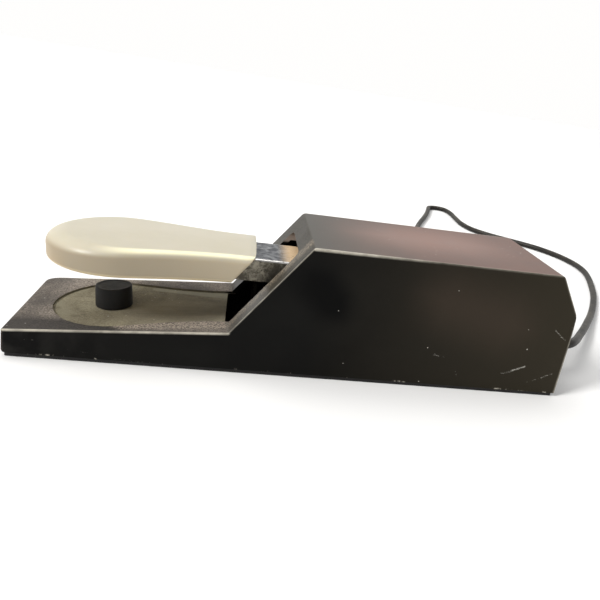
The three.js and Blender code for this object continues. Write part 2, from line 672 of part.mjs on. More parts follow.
// ---- cord outside the housing: from the relief down to the floor, and in a loose loop to its coil ----
const CORD_START = at(RELIEF_END) + GAP;
const COIL_OUTSIDE = COIL_RADIUS + CORD_DIAMETER;
const CORD_REST = CORD_RADIUS + 0.12; // height of the cord's axis where it lies on the floor
const CORD_ROUTE = [
  [CORD_START, 0, 14],
  [CORD_START + 2, 0, 14],
  [151.5, 3.5, 13.8],
  [160, 13, 12.4],
  [170, 27, 10.2],
  [182, 44, 8],
  [197, 66, 5.6],
  [213, 90, 3.6],
  [230, 118, CORD_REST],
  [243, 142, CORD_REST],
  [254, 166, CORD_REST],
  [264, 190, CORD_REST],
  [271, 212, CORD_REST],
  [273, 235, CORD_REST],
  [268, 260, CORD_REST],
  [256, 282, CORD_REST],
  [237, 300, CORD_REST],
  [219, 315, CORD_REST],
  [206, 333, CORD_REST],
  [201, 356, CORD_REST],
  [202, 384, CORD_REST],
  [203.6, 406.5, CORD_REST],
  [203, 420.5, CORD_REST],
  [200.8, 427.3, CORD_REST],
  [195.1, 431.4, CORD_REST],
  [187.9, 431.4, CORD_REST],
  [182.2, 427.3, CORD_REST],
  [180, 420.5, CORD_REST],
  [175.7, 406.5, CORD_REST],
  [170.5, 391, CORD_REST],
  [161.5, 367, CORD_REST],
  [149, 336, CORD_REST],
  [137, 302, CORD_REST],
  [124, 252, CORD_REST],
  [115, 200, CORD_REST],
  [112, 150, CORD_REST],
  [COIL_CENTRE[0] + COIL_OUTSIDE + CORD_RADIUS + GAP, COIL_CENTRE[1] + 8, COIL_BASE + CORD_RADIUS],
];
add('cord_run', geometryOf(tube(CORD_ROUTE, CORD_RADIUS, 70, 8)), rubber);

const BUNDLE_HALF = (COIL_TURNS_WIDE * CORD_DIAMETER) / 2;
const COIL_TOP = COIL_BASE + COIL_TURNS_HIGH * CORD_DIAMETER;
add('cord_coil', geometryOf(ring(
  COIL_RADIUS - BUNDLE_HALF, COIL_RADIUS + BUNDLE_HALF, COIL_BASE, COIL_TOP, [...COIL_CENTRE, 0], 'z', 32,
)), rubber);

function cordTie() {
  const [x, y] = COIL_CENTRE;
  const thickness = 0.9;
  const inner = [x - COIL_RADIUS - BUNDLE_HALF - 0.5, x - COIL_RADIUS + BUNDLE_HALF + 0.5];
  const [bottom, top] = [COIL_BASE - GAP, COIL_TOP + GAP];
  const outer = [inner[0] - thickness, inner[1] + thickness];
  const loop = box([outer[0], y - 4, bottom - thickness], [outer[1], y + 4, top + thickness]);
  const hole = box([inner[0], y - 5, bottom], [inner[1], y + 5, top]);
  return loop.subtract(hole);
}
add('cord_tie', geometryOf(cordTie()), felt);

// ---- jack plug, lying beside the coil with its tip towards the toe ----
const PLUG_BACK = PLUG_AT[0];
const PLUG_FRONT = PLUG_BACK - 34;
const plugPlace = [0, PLUG_AT[1], PLUG_RADIUS];

const tailStart = COIL_CENTRE[1] - COIL_OUTSIDE - CORD_RADIUS - GAP;
add('cord_tail', geometryOf(tube([
  [COIL_CENTRE[0] - 4, tailStart, COIL_BASE + 2.5 * CORD_DIAMETER],
  [COIL_CENTRE[0] - 13, tailStart + 0.6, 11.6],
  [COIL_CENTRE[0] - 22, PLUG_AT[1] - 0.4, 8.2],
  [PLUG_BACK + 11, PLUG_AT[1], PLUG_RADIUS],
  [PLUG_BACK + 8 + GAP, PLUG_AT[1], PLUG_RADIUS],
], CORD_RADIUS, 12, 8)), rubber);

add('plug_relief', geometryOf(turned([
  [0, PLUG_BACK + GAP], [4.4, PLUG_BACK + GAP], [CORD_RADIUS + 0.6, PLUG_BACK + 8], [0, PLUG_BACK + 8],
], plugPlace, 'x', 16)), rubber);

add('plug_body', geometryOf(turned([
  [0, PLUG_FRONT], [5.6, PLUG_FRONT], [PLUG_RADIUS, PLUG_FRONT + 1.4], [PLUG_RADIUS, PLUG_BACK - 3],
  [5.2, PLUG_BACK], [0, PLUG_BACK],
], plugPlace, 'x', 20)), blackPlastic);

const JACK_RADIUS = 3.175;
const JACK_RING = PLUG_FRONT - 24;
const jackRod = (from, to) => geometryOf(rod(JACK_RADIUS, from, to, plugPlace, 'x', 16));
add('jack_sleeve', jackRod(JACK_RING + GAP, PLUG_FRONT - GAP), chrome);
add('jack_insulator', jackRod(JACK_RING - 1.2, JACK_RING), blackPlastic);
add('jack_tip', geometryOf(turned([
  [0, JACK_RING - 9], [0.9, JACK_RING - 8.8], [2.9, JACK_RING - 5.6], [2.9, JACK_RING - 5],
  [2.1, JACK_RING - 3.6],
  [JACK_RADIUS, JACK_RING - 2.4], [JACK_RADIUS, JACK_RING - 1.2 - GAP], [0, JACK_RING - 1.2 - GAP],
], plugPlace, 'x', 16)), chrome);

export default object;
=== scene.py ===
"""A piano-style sustain pedal on a pale studio floor. Metres; +X from the toe to the cord end, +Z up."""
import math
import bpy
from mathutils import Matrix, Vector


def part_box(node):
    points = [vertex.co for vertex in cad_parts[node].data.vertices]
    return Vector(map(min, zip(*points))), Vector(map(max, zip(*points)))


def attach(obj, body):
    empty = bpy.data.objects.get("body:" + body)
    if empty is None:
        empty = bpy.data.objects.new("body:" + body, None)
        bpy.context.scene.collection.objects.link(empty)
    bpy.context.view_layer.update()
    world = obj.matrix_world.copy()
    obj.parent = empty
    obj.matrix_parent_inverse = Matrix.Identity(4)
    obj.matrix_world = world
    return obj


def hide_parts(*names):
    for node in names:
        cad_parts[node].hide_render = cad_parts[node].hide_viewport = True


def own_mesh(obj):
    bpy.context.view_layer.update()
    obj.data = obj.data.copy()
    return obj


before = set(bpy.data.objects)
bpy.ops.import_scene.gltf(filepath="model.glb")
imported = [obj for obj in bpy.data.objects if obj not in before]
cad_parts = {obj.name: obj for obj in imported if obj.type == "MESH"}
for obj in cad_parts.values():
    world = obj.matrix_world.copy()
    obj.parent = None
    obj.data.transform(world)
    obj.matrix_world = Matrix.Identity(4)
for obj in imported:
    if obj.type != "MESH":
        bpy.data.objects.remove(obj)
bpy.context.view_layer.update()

from types import SimpleNamespace

import bmesh
import bpy
from mathutils import Vector

MM = 0.001

# ---- places and sizes, worked out from the frame ----
HOUSING_LOW, HOUSING_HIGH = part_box("housing_shell")
HALF_WIDTH = HOUSING_HIGH.y
TOP = HOUSING_HIGH.z
TOE_X = HOUSING_LOW.x


def station(mm):
    """X at a distance from the toe, in millimetres."""
    return TOE_X + mm * MM


RAMP_FOOT = (station(94), 19.1 * MM)
RAMP_TOP = (station(127.2), TOP)
REAR_TOP = (station(246), TOP)
REAR_BULGE = (station(258), 41.7 * MM)
REAR_BOTTOM = (station(255.7), HOUSING_LOW.z)
TOE_TOP = (TOE_X, 12.3 * MM)

PLATFORM_SLOPE = (RAMP_FOOT[1] - TOE_TOP[1]) / (RAMP_FOOT[0] - TOE_TOP[0])

CORD_DIAMETER = 4.8 * MM
CORD_RADIUS = CORD_DIAMETER / 2


# ---- camera ----
def make_camera():
    data = bpy.data.cameras.new("camera")
    data.sensor_width = 36
    data.lens = 39.39
    data.shift_x = -0.1
    data.shift_y = -0.05
    data.clip_start = 0.01
    data.clip_end = 50
    camera = bpy.data.objects.new("camera", data)
    camera.location = (-0.0364, -0.3097, 0.1364)
    camera.rotation_euler = [math.radians(a) for a in (73.57, -8.966, -8.837)]
    bpy.context.scene.collection.objects.link(camera)
    bpy.context.scene.camera = camera


make_camera()


# ---- meshes ----
def link(name, mesh):
    obj = bpy.data.objects.new(name, mesh)
    bpy.context.scene.collection.objects.link(obj)
    return obj


def mesh_object(name, build, smooth=True):
    """A new object whose mesh is made by build(bm)."""
    bm = bmesh.new()
    build(bm)
    bmesh.ops.recalc_face_normals(bm, faces=bm.faces)
    mesh = bpy.data.meshes.new(name)
    bm.to_mesh(mesh)
    bm.free()
    for polygon in mesh.polygons:
        polygon.use_smooth = smooth
    return link(name, mesh)


def smoothstep(t):
    t = min(max(t, 0.0), 1.0)
    return t * t * (3 - 2 * t)


def catmull(points, spacing):
    """A smooth line through the points, with a point about every spacing metres."""
    pts = [Vector(p) for p in points]
    ends = [pts[0] * 2 - pts[1], *pts, pts[-1] * 2 - pts[-2]]
    line = []
    for a, b, c, d in zip(ends, ends[1:], ends[2:], ends[3:]):
        knots = [0.0]
        for p, q in ((a, b), (b, c), (c, d)):
            knots.append(knots[-1] + max((q - p).length, 1e-7) ** 0.5)
        steps = max(1, round((c - b).length / spacing))
        for i in range(steps):
            t = knots[1] + (knots[2] - knots[1]) * i / steps
            a1 = a.lerp(b, (t - knots[0]) / (knots[1] - knots[0]))
            a2 = b.lerp(c, (t - knots[1]) / (knots[2] - knots[1]))
            a3 = c.lerp(d, (t - knots[2]) / (knots[3] - knots[2]))
            b1 = a1.lerp(a2, (t - knots[0]) / (knots[2] - knots[0]))
            b2 = a2.lerp(a3, (t - knots[1]) / (knots[3] - knots[1]))
            line.append(b1.lerp(b2, (t - knots[1]) / (knots[2] - knots[1])))
    return [*line, pts[-1]]


def tube(name, points, radius, resolution=4):
    """A round cord along the points, as a curve of one open spline."""
    curve = bpy.data.curves.new(name, "CURVE")
    curve.dimensions = "3D"
    curve.bevel_depth = radius
    curve.bevel_resolution = resolution
    curve.use_fill_caps = True
    spline = curve.splines.new("POLY")
    spline.points.add(len(points) - 1)
    for point, place in zip(spline.points, points):
        point.co = (*place, 1)
    spline.use_smooth = True
    return link(name, curve)


def paler_to_opening(name, points, radius, sides=12):
    """A round wire along the points, as a closed mesh."""
    pts = [Vector(p) for p in points]

    def build(bm):
        side = (pts[1] - pts[0]).orthogonal().normalized()
        rings = []
        for i, point in enumerate(pts):
            along = (pts[min(i + 1, len(pts) - 1)] - pts[max(i - 1, 0)]).normalized()
            side = (side - along * side.dot(along)).normalized()
            up = along.cross(side)
            angles = [2 * math.pi * k / sides for k in range(sides)]
            arms = [side * math.cos(a) + up * math.sin(a) for a in angles]
            rings.append([bm.verts.new(point + arm * radius) for arm in arms])
        for lower, upper in zip(rings, rings[1:]):
            for k in range(sides):
                j = (k + 1) % sides
                bm.faces.new((lower[k], lower[j], upper[j], upper[k]))
        bm.faces.new(rings[0])
        bm.faces.new(rings[-1])

    return mesh_object(name, build)


def turned(name, profile, centre, axis="z", segments=64):
    """A closed solid of revolution from (radius, height) pairs, in metres, along an axis through centre."""
    centre = Vector(centre)

    def place(radius, height, angle):
        u, v = radius * math.cos(angle), radius * math.sin(angle)
        return centre + Vector({"z": (u, v, height), "x": (height, u, v), "y": (v, height, u)}[axis])

    def build(bm):
        rings = []
        for radius, height in profile:
            if radius < 1e-7:
                rings.append([bm.verts.new(place(0, height, 0))])
            else:
                angles = [2 * math.pi * i / segments for i in range(segments)]
                rings.append([bm.verts.new(place(radius, height, a)) for a in angles])
        closed = profile[0][0] > 1e-7
        pairs = list(zip(rings, rings[1:] + ([rings[0]] if closed else [])))
        for lower, upper in pairs:
            for i in range(segments):
                j = (i + 1) % segments
                below = [lower[k % len(lower)] for k in (i, j)]
                above = [upper[k % len(upper)] for k in (j, i)]
                corners = list(dict.fromkeys(below + above))
                if len(corners) > 2:
                    bm.faces.new(corners)

    return mesh_object(name, build)


def rounded(profile, radius, steps=4):
    """The profile with each inner corner rounded off by an arc of about the radius."""
    result = [profile[0]]
    for before, here, after in zip(profile, profile[1:], profile[2:]):
        h = Vector(here)
        a, b = Vector(before) - h, Vector(after) - h
        reach = min(radius, a.length * 0.45, b.length * 0.45)
        start, end = h + a.normalized() * reach, h + b.normalized() * reach
        for i in range(steps + 1):
            t = i / steps
            result.append(tuple(start * (1 - t) ** 2 + h * (2 * t * (1 - t)) + end * t * t))
    return [*result, profile[-1]]


# ---- cord: its route and coil ----
EXIT = (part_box("strain_relief")[1].x, 0, 14 * MM)
COIL_LOW, COIL_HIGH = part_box("cord_coil")
COIL_CENTRE = (COIL_LOW + COIL_HIGH) / 2
COIL_RADIUS = 27 * MM
COIL_BASE = COIL_LOW.z + CORD_RADIUS
PLUG_LOW, PLUG_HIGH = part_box("plug_body")
PLUG_AXIS = ((PLUG_LOW.y + PLUG_HIGH.y) / 2, (PLUG_LOW.z + PLUG_HIGH.z) / 2)

CORD_REST = CORD_RADIUS + 0.12 * MM

ROUTE = [
    (EXIT[0] + 0.0003, 0, 0.014), (EXIT[0] + 0.0023, 0, 0.014), (0.1515, 0.0035, 0.0138),
    (0.16, 0.013, 0.0124), (0.17, 0.027, 0.0102), (0.182, 0.044, 0.008),
    (0.197, 0.066, 0.0056), (0.213, 0.090, 0.0036), (0.23, 0.118, CORD_REST),
    (0.243, 0.142, CORD_REST), (0.254, 0.166, CORD_REST), (0.264, 0.190, CORD_REST),
    (0.271, 0.212, CORD_REST), (0.273, 0.235, CORD_REST), (0.268, 0.260, CORD_REST),
    (0.256, 0.282, CORD_REST), (0.237, 0.300, CORD_REST), (0.219, 0.315, CORD_REST),
    (0.206, 0.333, CORD_REST), (0.201, 0.356, CORD_REST), (0.202, 0.384, CORD_REST),
    (0.2036, 0.4065, CORD_REST), (0.203, 0.4205, CORD_REST), (0.2008, 0.4273, CORD_REST),
    (0.1951, 0.4314, CORD_REST), (0.1879, 0.4314, CORD_REST), (0.1822, 0.4273, CORD_REST),
    (0.18, 0.4205, CORD_REST), (0.1757, 0.4065, CORD_REST), (0.1705, 0.391, CORD_REST),
    (0.1615, 0.367, CORD_REST), (0.149, 0.336, CORD_REST), (0.137, 0.302, CORD_REST),
    (0.124, 0.252, CORD_REST), (0.115, 0.200, CORD_REST), (0.112, 0.150, CORD_REST),
]


def coil_points(turns=4.25, per_turn=48):
    """Turns that lie beside and on each other: outside, inside, up, outside, up, outside."""
    half = CORD_RADIUS
    moves = [  # (start and end in degrees, radius change, height change)
        (300, 350, -2 * half, 0),
        (610, 660, 0, CORD_DIAMETER),
        (920, 970, 2 * half, 0),
        (1230, 1280, 0, CORD_DIAMETER),
    ]
    points = []
    for i in range(round(turns * per_turn) + 1):
        degrees = 360 * i / per_turn
        shares = [smoothstep((degrees - a) / (b - a)) for a, b, _, _ in moves]
        radius = COIL_RADIUS + half + sum(s * m[2] for s, m in zip(shares, moves))
        radius += 3.2 * MM * (1 - smoothstep(degrees / 60))
        height = COIL_BASE + sum(s * m[3] for s, m in zip(shares, moves))
        angle = -math.radians(degrees)
        x = COIL_CENTRE.x + radius * math.cos(angle)
        y = COIL_CENTRE.y + radius * math.sin(angle)
        points.append((x, y, height))
    return points


def cord_line():
    end = PLUG_HIGH.x + 8 * MM
    y, z = PLUG_AXIS
    coil = coil_points()
    last = Vector(coil[-1])
    tail = [
        (last.x - 10 * MM, last.y - 0.6 * MM, last.z - 1.2 * MM),
        (last.x - 19 * MM, (last.y * 0.5 + y * 0.5), last.z - 3.8 * MM),
        (end + 4 * MM, y, z + 0.3 * MM),
        (end, y, z),
    ]
    outside = COIL_CENTRE.x + COIL_RADIUS + CORD_RADIUS + 4.6 * MM
    lead_in = (outside, COIL_CENTRE.y + 16 * MM, COIL_BASE - 0.4 * MM)
    return catmull([*ROUTE, lead_in, *coil, *tail], 2.5 * MM)


# ---- materials ----
class Paint:
    """A node material, with short calls for its nodes. Every coordinate is the object's own, in metres."""

    def __init__(self, name, color=(0.8, 0.8, 0.8), roughness=0.5, metallic=0.0, specular=0.5):
        self.material = bpy.data.materials.new(name)
        self.material.use_nodes = True
        self.tree = self.material.node_tree
        self.shader = self.tree.nodes["Principled BSDF"]
        self.set("Base Color", (*color, 1))
        self.set("Roughness", roughness)
        self.set("Metallic", metallic)
        self.set("Specular IOR Level", specular)
        self.place = self.tree.nodes.new("ShaderNodeTexCoord").outputs["Object"]
        self.normal = self.tree.nodes.new("ShaderNodeNewGeometry").outputs["Normal"]

    def set(self, socket, value):
        if isinstance(value, bpy.types.NodeSocket):
            self.tree.links.new(value, self.shader.inputs[socket])
        else:
            self.shader.inputs[socket].default_value = value

    def node(self, kind, inputs=(), **settings):
        made = self.tree.nodes.new(kind)
        for key, value in settings.items():
            setattr(made, key, value)
        for socket, value in dict(inputs).items():
            if isinstance(value, bpy.types.NodeSocket):
                self.tree.links.new(value, made.inputs[socket])
            else:
                made.inputs[socket].default_value = value
        return made

    def stretched(self, scale, offset=(0, 0, 0)):
        return self.node("ShaderNodeMapping", {0: self.place, 1: offset, 3: scale}).outputs[0]

    def noise(self, scale, detail=3, rough=0.55, place=None, distortion=0.0):
        inputs = {"Vector": place or self.place, "Scale": scale, "Detail": detail, "Roughness": rough}
        inputs["Distortion"] = distortion
        return self.node("ShaderNodeTexNoise", inputs).outputs["Fac"]

    def cells(self, scale):
        """Distance to the nearest of many scattered points."""
        inputs = {"Vector": self.place, "Scale": scale, "Randomness": 1.0}
        return self.node("ShaderNodeTexVoronoi", inputs, feature="F1").outputs["Distance"]

    def span(self, value, low, high, to_low=0.0, to_high=1.0, smooth=False):
        """value from low to high, mapped to to_low to to_high, and clamped."""
        kind = "SMOOTHSTEP" if smooth else "LINEAR"
        inputs = {0: value, 1: low, 2: high, 3: to_low, 4: to_high}
        return self.node("ShaderNodeMapRange", inputs, interpolation_type=kind).outputs[0]

    def math(self, operation, a, b=0.0):
        return self.node("ShaderNodeMath", {0: a, 1: b}, operation=operation).outputs[0]

    def vector(self, operation, a, b=(0.0, 0.0, 0.0)):
        return self.node("ShaderNodeVectorMath", {0: a, 1: b}, operation=operation)

    def times(self, *values):
        result = values[0]
        for value in values[1:]:
            result = self.math("MULTIPLY", result, value)
        return result

    def most(self, *values):
        result = values[0]
        for value in values[1:]:
            result = self.math("MAXIMUM", result, value)
        return result

    def blend(self, share, a, b):
        """Colour a where share is 0, b where it is 1."""
        a, b = ((*c, 1) if isinstance(c, tuple) and len(c) == 3 else c for c in (a, b))
        return self.node("ShaderNodeMix", {0: share, 6: a, 7: b}, data_type="RGBA").outputs[2]

    def part(self, vector, axis):
        return self.node("ShaderNodeSeparateXYZ", {0: vector}).outputs["XYZ".index(axis)]

    def bump(self, *layers):
        """Layers of (height, strength, distance in metres), on top of one another."""
        under = None
        for height, strength, distance in layers:
            inputs = {"Height": height, "Strength": strength, "Distance": distance}
            if under:
                inputs["Normal"] = under
            under = self.node("ShaderNodeBump", inputs).outputs[0]
        self.set("Normal", under)

    def near_line(self, start, end, reach, place=None):
        """1 on the straight line between two points and 0 at reach metres from it."""
        a, b = Vector(start), Vector(end)
        middle, half = (a + b) / 2, (b - a).length / 2
        along = (b - a).normalized()
        offset = self.vector("SUBTRACT", place or self.place, middle).outputs[0]
        reached = self.vector("DOT_PRODUCT", offset, along).outputs["Value"]
        cross = self.vector("CROSS_PRODUCT", offset, along).outputs[0]
        away = self.vector("LENGTH", cross).outputs["Value"]
        beyond = self.span(self.math("ABSOLUTE", reached), half, half + reach, 1, 0)
        return self.times(self.span(away, 0, reach, 1, 0), beyond)


SCRATCHES = [  # on the near side: two ends as (distance from the toe, height), width in mm, how pale
    ((226.5, 11.0), (231, 12.2), 0.5, 0.8),
    ((231, 12.6), (237.4, 15.4), 0.6, 1.0),
    ((190.5, 17.8), (193, 17.4), 0.5, 0.7),
    ((193.2, 17.2), (196.6, 17.0), 0.4, 0.5),
    ((248.8, 35.4), (254.8, 31.0), 0.5, 0.8),
    ((203.0, 9.9), (204.6, 6.0), 0.4, 0.6),
    ((240.5, 7.4), (246, 9.4), 0.4, 0.6),
    ((247.5, 10.2), (252.6, 12.8), 0.5, 0.7),
    ((236, 26.0), (238.5, 24.0), 0.35, 0.4),
    ((84, 8.2), (84.3, 1.5), 0.3, 0.3),
    ((27, 6.0), (40, 4.6), 0.4, 0.4),
    ((10, 9.2), (16, 9.0), 0.4, 0.45),
    ((44, 3.2), (62, 2.6), 0.4, 0.5),
]


NEAR, FAR = -HALF_WIDTH, HALF_WIDTH


def housing_zones(p):
    """Shares from 0 to 1 that say where on the housing a point is, and its X."""
    x, y, z = (p.part(p.place, axis) for axis in "XYZ")
    facing = p.part(p.normal, "X")
    up = p.span(p.part(p.normal, "Z"), 0.3, 0.8, smooth=True)
    side = p.math("SUBTRACT", 1.0, up)
    across = p.math("ABSOLUTE", y)
    before_ramp = p.span(x, RAMP_FOOT[0] - 2 * MM, RAMP_FOOT[0] + 2 * MM, 1, 0)
    level = p.math("ADD", p.math("MULTIPLY", p.math("SUBTRACT", x, TOE_X), PLATFORM_SLOPE), TOE_TOP[1])
    depth = p.math("SUBTRACT", level, z)
    step = p.times(p.span(depth, 0.15 * MM, 0.3 * MM), p.span(depth, 0.85 * MM, 0.75 * MM))
    inside = p.times(p.span(across, 33.5 * MM, 33 * MM), p.span(x, TOE_X + 6 * MM, TOE_X + 7 * MM))
    inside = p.times(inside, p.span(x, station(93), station(90)))
    mouth = p.times(
        p.span(across, 23.5 * MM, 22 * MM),
        p.span(z, 49 * MM, 50 * MM),
        p.span(z, 58.5 * MM, 58 * MM),
        p.span(x, RAMP_TOP[0] + 12 * MM, RAMP_TOP[0] + 10 * MM),
        p.span(facing, -0.5, -0.1),
    )
    return SimpleNamespace(
        x=x,
        up=up,
        side=side,
        front=p.span(facing, -0.2, -0.6, smooth=True),
        platform=p.times(up, before_ramp),
        recess_floor=p.times(up, before_ramp, p.span(depth, 0.45 * MM, 0.8 * MM)),
        recess_wall=p.times(before_ramp, inside, p.most(side, step)),
        mouth=mouth,
    )


def enamel_sides(p, zone, streak, patch):
    """Near-black sides: hazy, browner to the rear, one warm patch, one dark rub and a scuffed toe."""
    color = p.blend(p.span(streak, 0.35, 0.75), (0.0025, 0.0025, 0.0024), (0.0055, 0.0053, 0.0048))
    cloudy = p.noise(14, 2, 0.5, p.stretched((1, 1, 1.6), (0.7, 0.2, 0.4)))
    color = p.blend(p.span(cloudy, 0.42, 0.68, 0, 0.5), color, (0.009, 0.0088, 0.0078))
    to_rear = p.times(zone.side, p.span(zone.x, 0.0, REAR_BULGE[0]))
    color = p.blend(to_rear, color, (0.030, 0.025, 0.0165))
    warm = p.near_line((station(192), NEAR, 0.044), (station(224), NEAR, 0.036), 26 * MM)
    warm = p.times(zone.side, p.span(warm, 0, 1, 0, 0.5, smooth=True))
    color = p.blend(warm, color, (0.052, 0.038, 0.028))
    rub = p.near_line((station(131), NEAR, 0.046), (station(139), NEAR, 0.037), 15 * MM)
    color = p.blend(p.times(zone.side, p.span(rub, 0, 0.8, smooth=True)), color, (0.0015, 0.0015, 0.0014))
    scuff = p.times(zone.side, p.span(zone.x, TOE_X + 0.05, TOE_X, 0, 0.7), p.span(patch, 0.4, 0.65))
    return p.blend(scuff, color, (0.022, 0.021, 0.019))


def enamel_top(p, zone, color, cloud):
    """Dust and a painted sheen on what faces up: grey at the front, pinkish brown behind and palest in the
    middle.
    """
    along = p.span(zone.x, RAMP_TOP[0], RAMP_TOP[0] + 0.06)
    tint = p.blend(along, (0.105, 0.100, 0.088), (0.20, 0.128, 0.107))
    # dust and painted sheen: the up-facing colour is lifted to stand in for the top's glancing sheen
    color = p.blend(p.times(zone.up, p.span(cloud, 0.25, 0.75, 0.55, 0.95)), color, tint)
    # painted sheen, strongest in the middle of the top
    middle = p.near_line((station(172), 5 * MM, TOP), (station(206), 5 * MM, TOP), 40 * MM)
    return p.blend(p.times(zone.up, p.span(middle, 0, 1, 0, 0.42, smooth=True)), color, (0.35, 0.225, 0.19))


def enamel_ramp(p, zone, color, patch, speck):
    """Brown speckled dust on the ramp, thicker and brighter along the opening."""
    dust = p.blend(p.span(speck, 0.4, 0.65), (0.012, 0.011, 0.009), (0.080, 0.071, 0.056))
    color = p.blend(p.times(zone.front, p.span(patch, 0.35, 0.65, 0.75, 1.0)), color, dust)
    beside = -23 * MM
    opening = p.near_line((RAMP_FOOT[0], beside, RAMP_FOOT[1]), (RAMP_TOP[0], beside, TOP), 6 * MM)
    glitter = p.times(zone.front, p.span(opening, 0.05, 0.7), p.span(speck, 0.45, 0.62))
    return p.blend(glitter, color, (0.26, 0.215, 0.16))


def enamel_platform(p, patch, speck):
    """The flat round the recess: speckled dust, rubbed through in places, darker at the near toe corner."""
    color = p.blend(p.span(speck, 0.38, 0.68), (0.085, 0.073, 0.062), (0.36, 0.315, 0.27))
    bare = p.span(p.noise(26, 4, 0.6, p.stretched((1, 1, 1), (0.3, 0.1, 0))), 0.42, 0.62)
    color = p.blend(p.times(bare, 0.75), color, (0.062, 0.058, 0.055))
    # darker along the near edge by the toe
    darker_near_toe = p.near_line((station(3), -30 * MM, 0.0127), (station(40), -31 * MM, 0.0152), 15 * MM)
    color = p.blend(p.span(darker_near_toe, 0.1, 0.6, 0, 0.85), color, (0.030, 0.029, 0.029))
    bright = p.near_line((station(48), -28 * MM, 0.0158), (station(92), -25 * MM, 0.019), 6.5 * MM)
    color = p.blend(p.times(p.span(bright, 0.1, 0.6), p.span(speck, 0.42, 0.6)), color, (0.40, 0.34, 0.28))
    toe = p.near_line((station(2), -30 * MM, 0.0127), (station(2), 24 * MM, 0.0127), 15 * MM)
    toe_grime = p.times(p.span(toe, 0.1, 0.7, 0, 0.6), p.span(patch, 0.3, 0.6, 0.5, 1))
    return p.blend(toe_grime, color, (0.055, 0.049, 0.045))


def enamel_recess(p, patch, speck, streak):
    """Greenish grime on the recess floor, with a painted shadow of the sleeve running on from the stop,
    paler towards the opening as painted light, a painted reflection along the far side and a painted
    highlight on the rim near the tip.
    """
    color = p.blend(p.span(patch, 0.35, 0.65), (0.130, 0.114, 0.080), (0.25, 0.228, 0.160))
    color = p.blend(p.span(speck, 0.35, 0.52, 0.55, 0), color, (0.070, 0.060, 0.042))
    color = p.blend(p.span(speck, 0.55, 0.72, 0, 0.5), color, (0.36, 0.33, 0.24))
    # painted shadow of the sleeve, running from the stop towards the opening
    sleeve_shadow = p.near_line((station(40), -15 * MM, 0.015), (station(88), -2 * MM, 0.018), 10 * MM)
    color = p.blend(p.times(sleeve_shadow, p.span(patch, 0.3, 0.6, 0.1, 0.5)), color, (0.070, 0.060, 0.044))
    # painted light: paler towards the opening, to offset the paddle's shadow there
    paler_to_opening = p.near_line((station(60), -6 * MM, 0.016), (station(92), -4 * MM, 0.018), 24 * MM)
    paler_to_opening = p.times(p.span(paler_to_opening, 0, 0.7), p.span(streak, 0.3, 0.7, 0.35, 0.8))
    color = p.blend(paler_to_opening, color, (0.34, 0.31, 0.235))
    # painted reflection: a lighter band along the far side of the recess floor
    far_reflection = p.near_line((station(58), 25 * MM, 0.016), (station(94), 16 * MM, 0.018), 5 * MM)
    color = p.blend(p.span(far_reflection, 0.1, 0.2, 0, 0.6), color, (0.28, 0.27, 0.21))
    # painted highlight: a pale broken line along the recess rim near the tip
    rim = p.near_line((station(15), 0, 0.013), (station(22), -16 * MM, 0.013), 7 * MM)
    return p.blend(p.times(rim, p.span(patch, 0.4, 0.6)), color, (0.21, 0.195, 0.14))


def enamel_wear_and_highlight(p, zone):
    """1 where the enamel is rubbed through along the edges, broken up by chips; the same pale lines carry
    the painted highlights of the rounded edges.
    """
    foot = HOUSING_LOW.z
    # the painted highlight on the near top edge is strongest by the ramp and fades towards the rear
    fading = p.span(zone.x, RAMP_TOP[0], RAMP_TOP[0] + 60 * MM, 1.25, 0.45)
    chips = p.span(p.noise(120, 4, 0.7), 0.55, 0.66)

    def at(corner, y):
        return (corner[0], y, corner[1])

    edges = [  # two ends, how far the wear and painted highlight reach in mm, how strong it is
        (at(TOE_TOP, NEAR), at(RAMP_FOOT, NEAR), 1.3, 1.1),
        (at(RAMP_TOP, NEAR), at(REAR_TOP, NEAR), 1.7, fading),
        (at(RAMP_FOOT, NEAR), at(RAMP_TOP, NEAR), 0.9, 0.62),
        (at(TOE_TOP, FAR), at(RAMP_FOOT, FAR), 1.1, 0.7),
        (at(RAMP_TOP, FAR), at(REAR_TOP, FAR), 1.0, 0.6),
        (at(REAR_TOP, NEAR), at(REAR_BULGE, NEAR), 1.1, 0.55),
        (at(REAR_BULGE, NEAR), (REAR_BOTTOM[0], NEAR, 0), 1.3, 0.75),
        (at(REAR_BULGE, NEAR), at(REAR_BULGE, FAR), 1.2, 0.5),
        ((TOE_X, NEAR, foot), (REAR_BOTTOM[0], NEAR, foot), 1.1, chips),
    ]
    edge = p.most(*(p.times(p.near_line(a, b, reach * MM), share) for a, b, reach, share in edges))
    chipped = p.span(p.noise(180, 4, 0.6), 0.35, 0.65, 0.55, 1.0)
    return p.times(p.span(edge, 0.15, 0.85), p.span(edge, 0.0, 0.5), chipped)


def enamel_marks(p, zone):
    """1 on the scratches of the near side, on small nicks and on flecks over the top and the ramp."""
    ragged = p.node("ShaderNodeTexNoise", {"Scale": 260.0}).outputs["Color"]
    jitter = p.node("ShaderNodeVectorMath", {0: ragged, 3: 0.0011}, operation="SCALE").outputs[0]
    shaken = p.vector("ADD", p.place, jitter).outputs[0]
    lines = []
    for (start, low), (end, high), width, pale in SCRATCHES:
        ends = (station(start), NEAR, low * MM), (station(end), NEAR, high * MM)
        lines.append(p.times(p.near_line(*ends, 1.25 * width * MM, shaken), pale))
    scratches = p.span(p.most(*lines), 0.05, 0.5)
    spots = p.math("SUBTRACT", p.cells(130), p.math("MULTIPLY", p.noise(70, 1), 0.055))
    nicks = p.times(p.span(p.noise(15, 2, 0.5), 0.50, 0.58), p.span(spots, 0.0, 0.011, 1, 0))
    dusty = p.times(p.most(zone.up, zone.front), p.span(p.noise(30, 2), 0.52, 0.62))
    flecks = p.times(dusty, p.span(p.cells(260), 0.06, 0.11, 0.8, 0))
    return p.most(nicks, scratches, flecks)


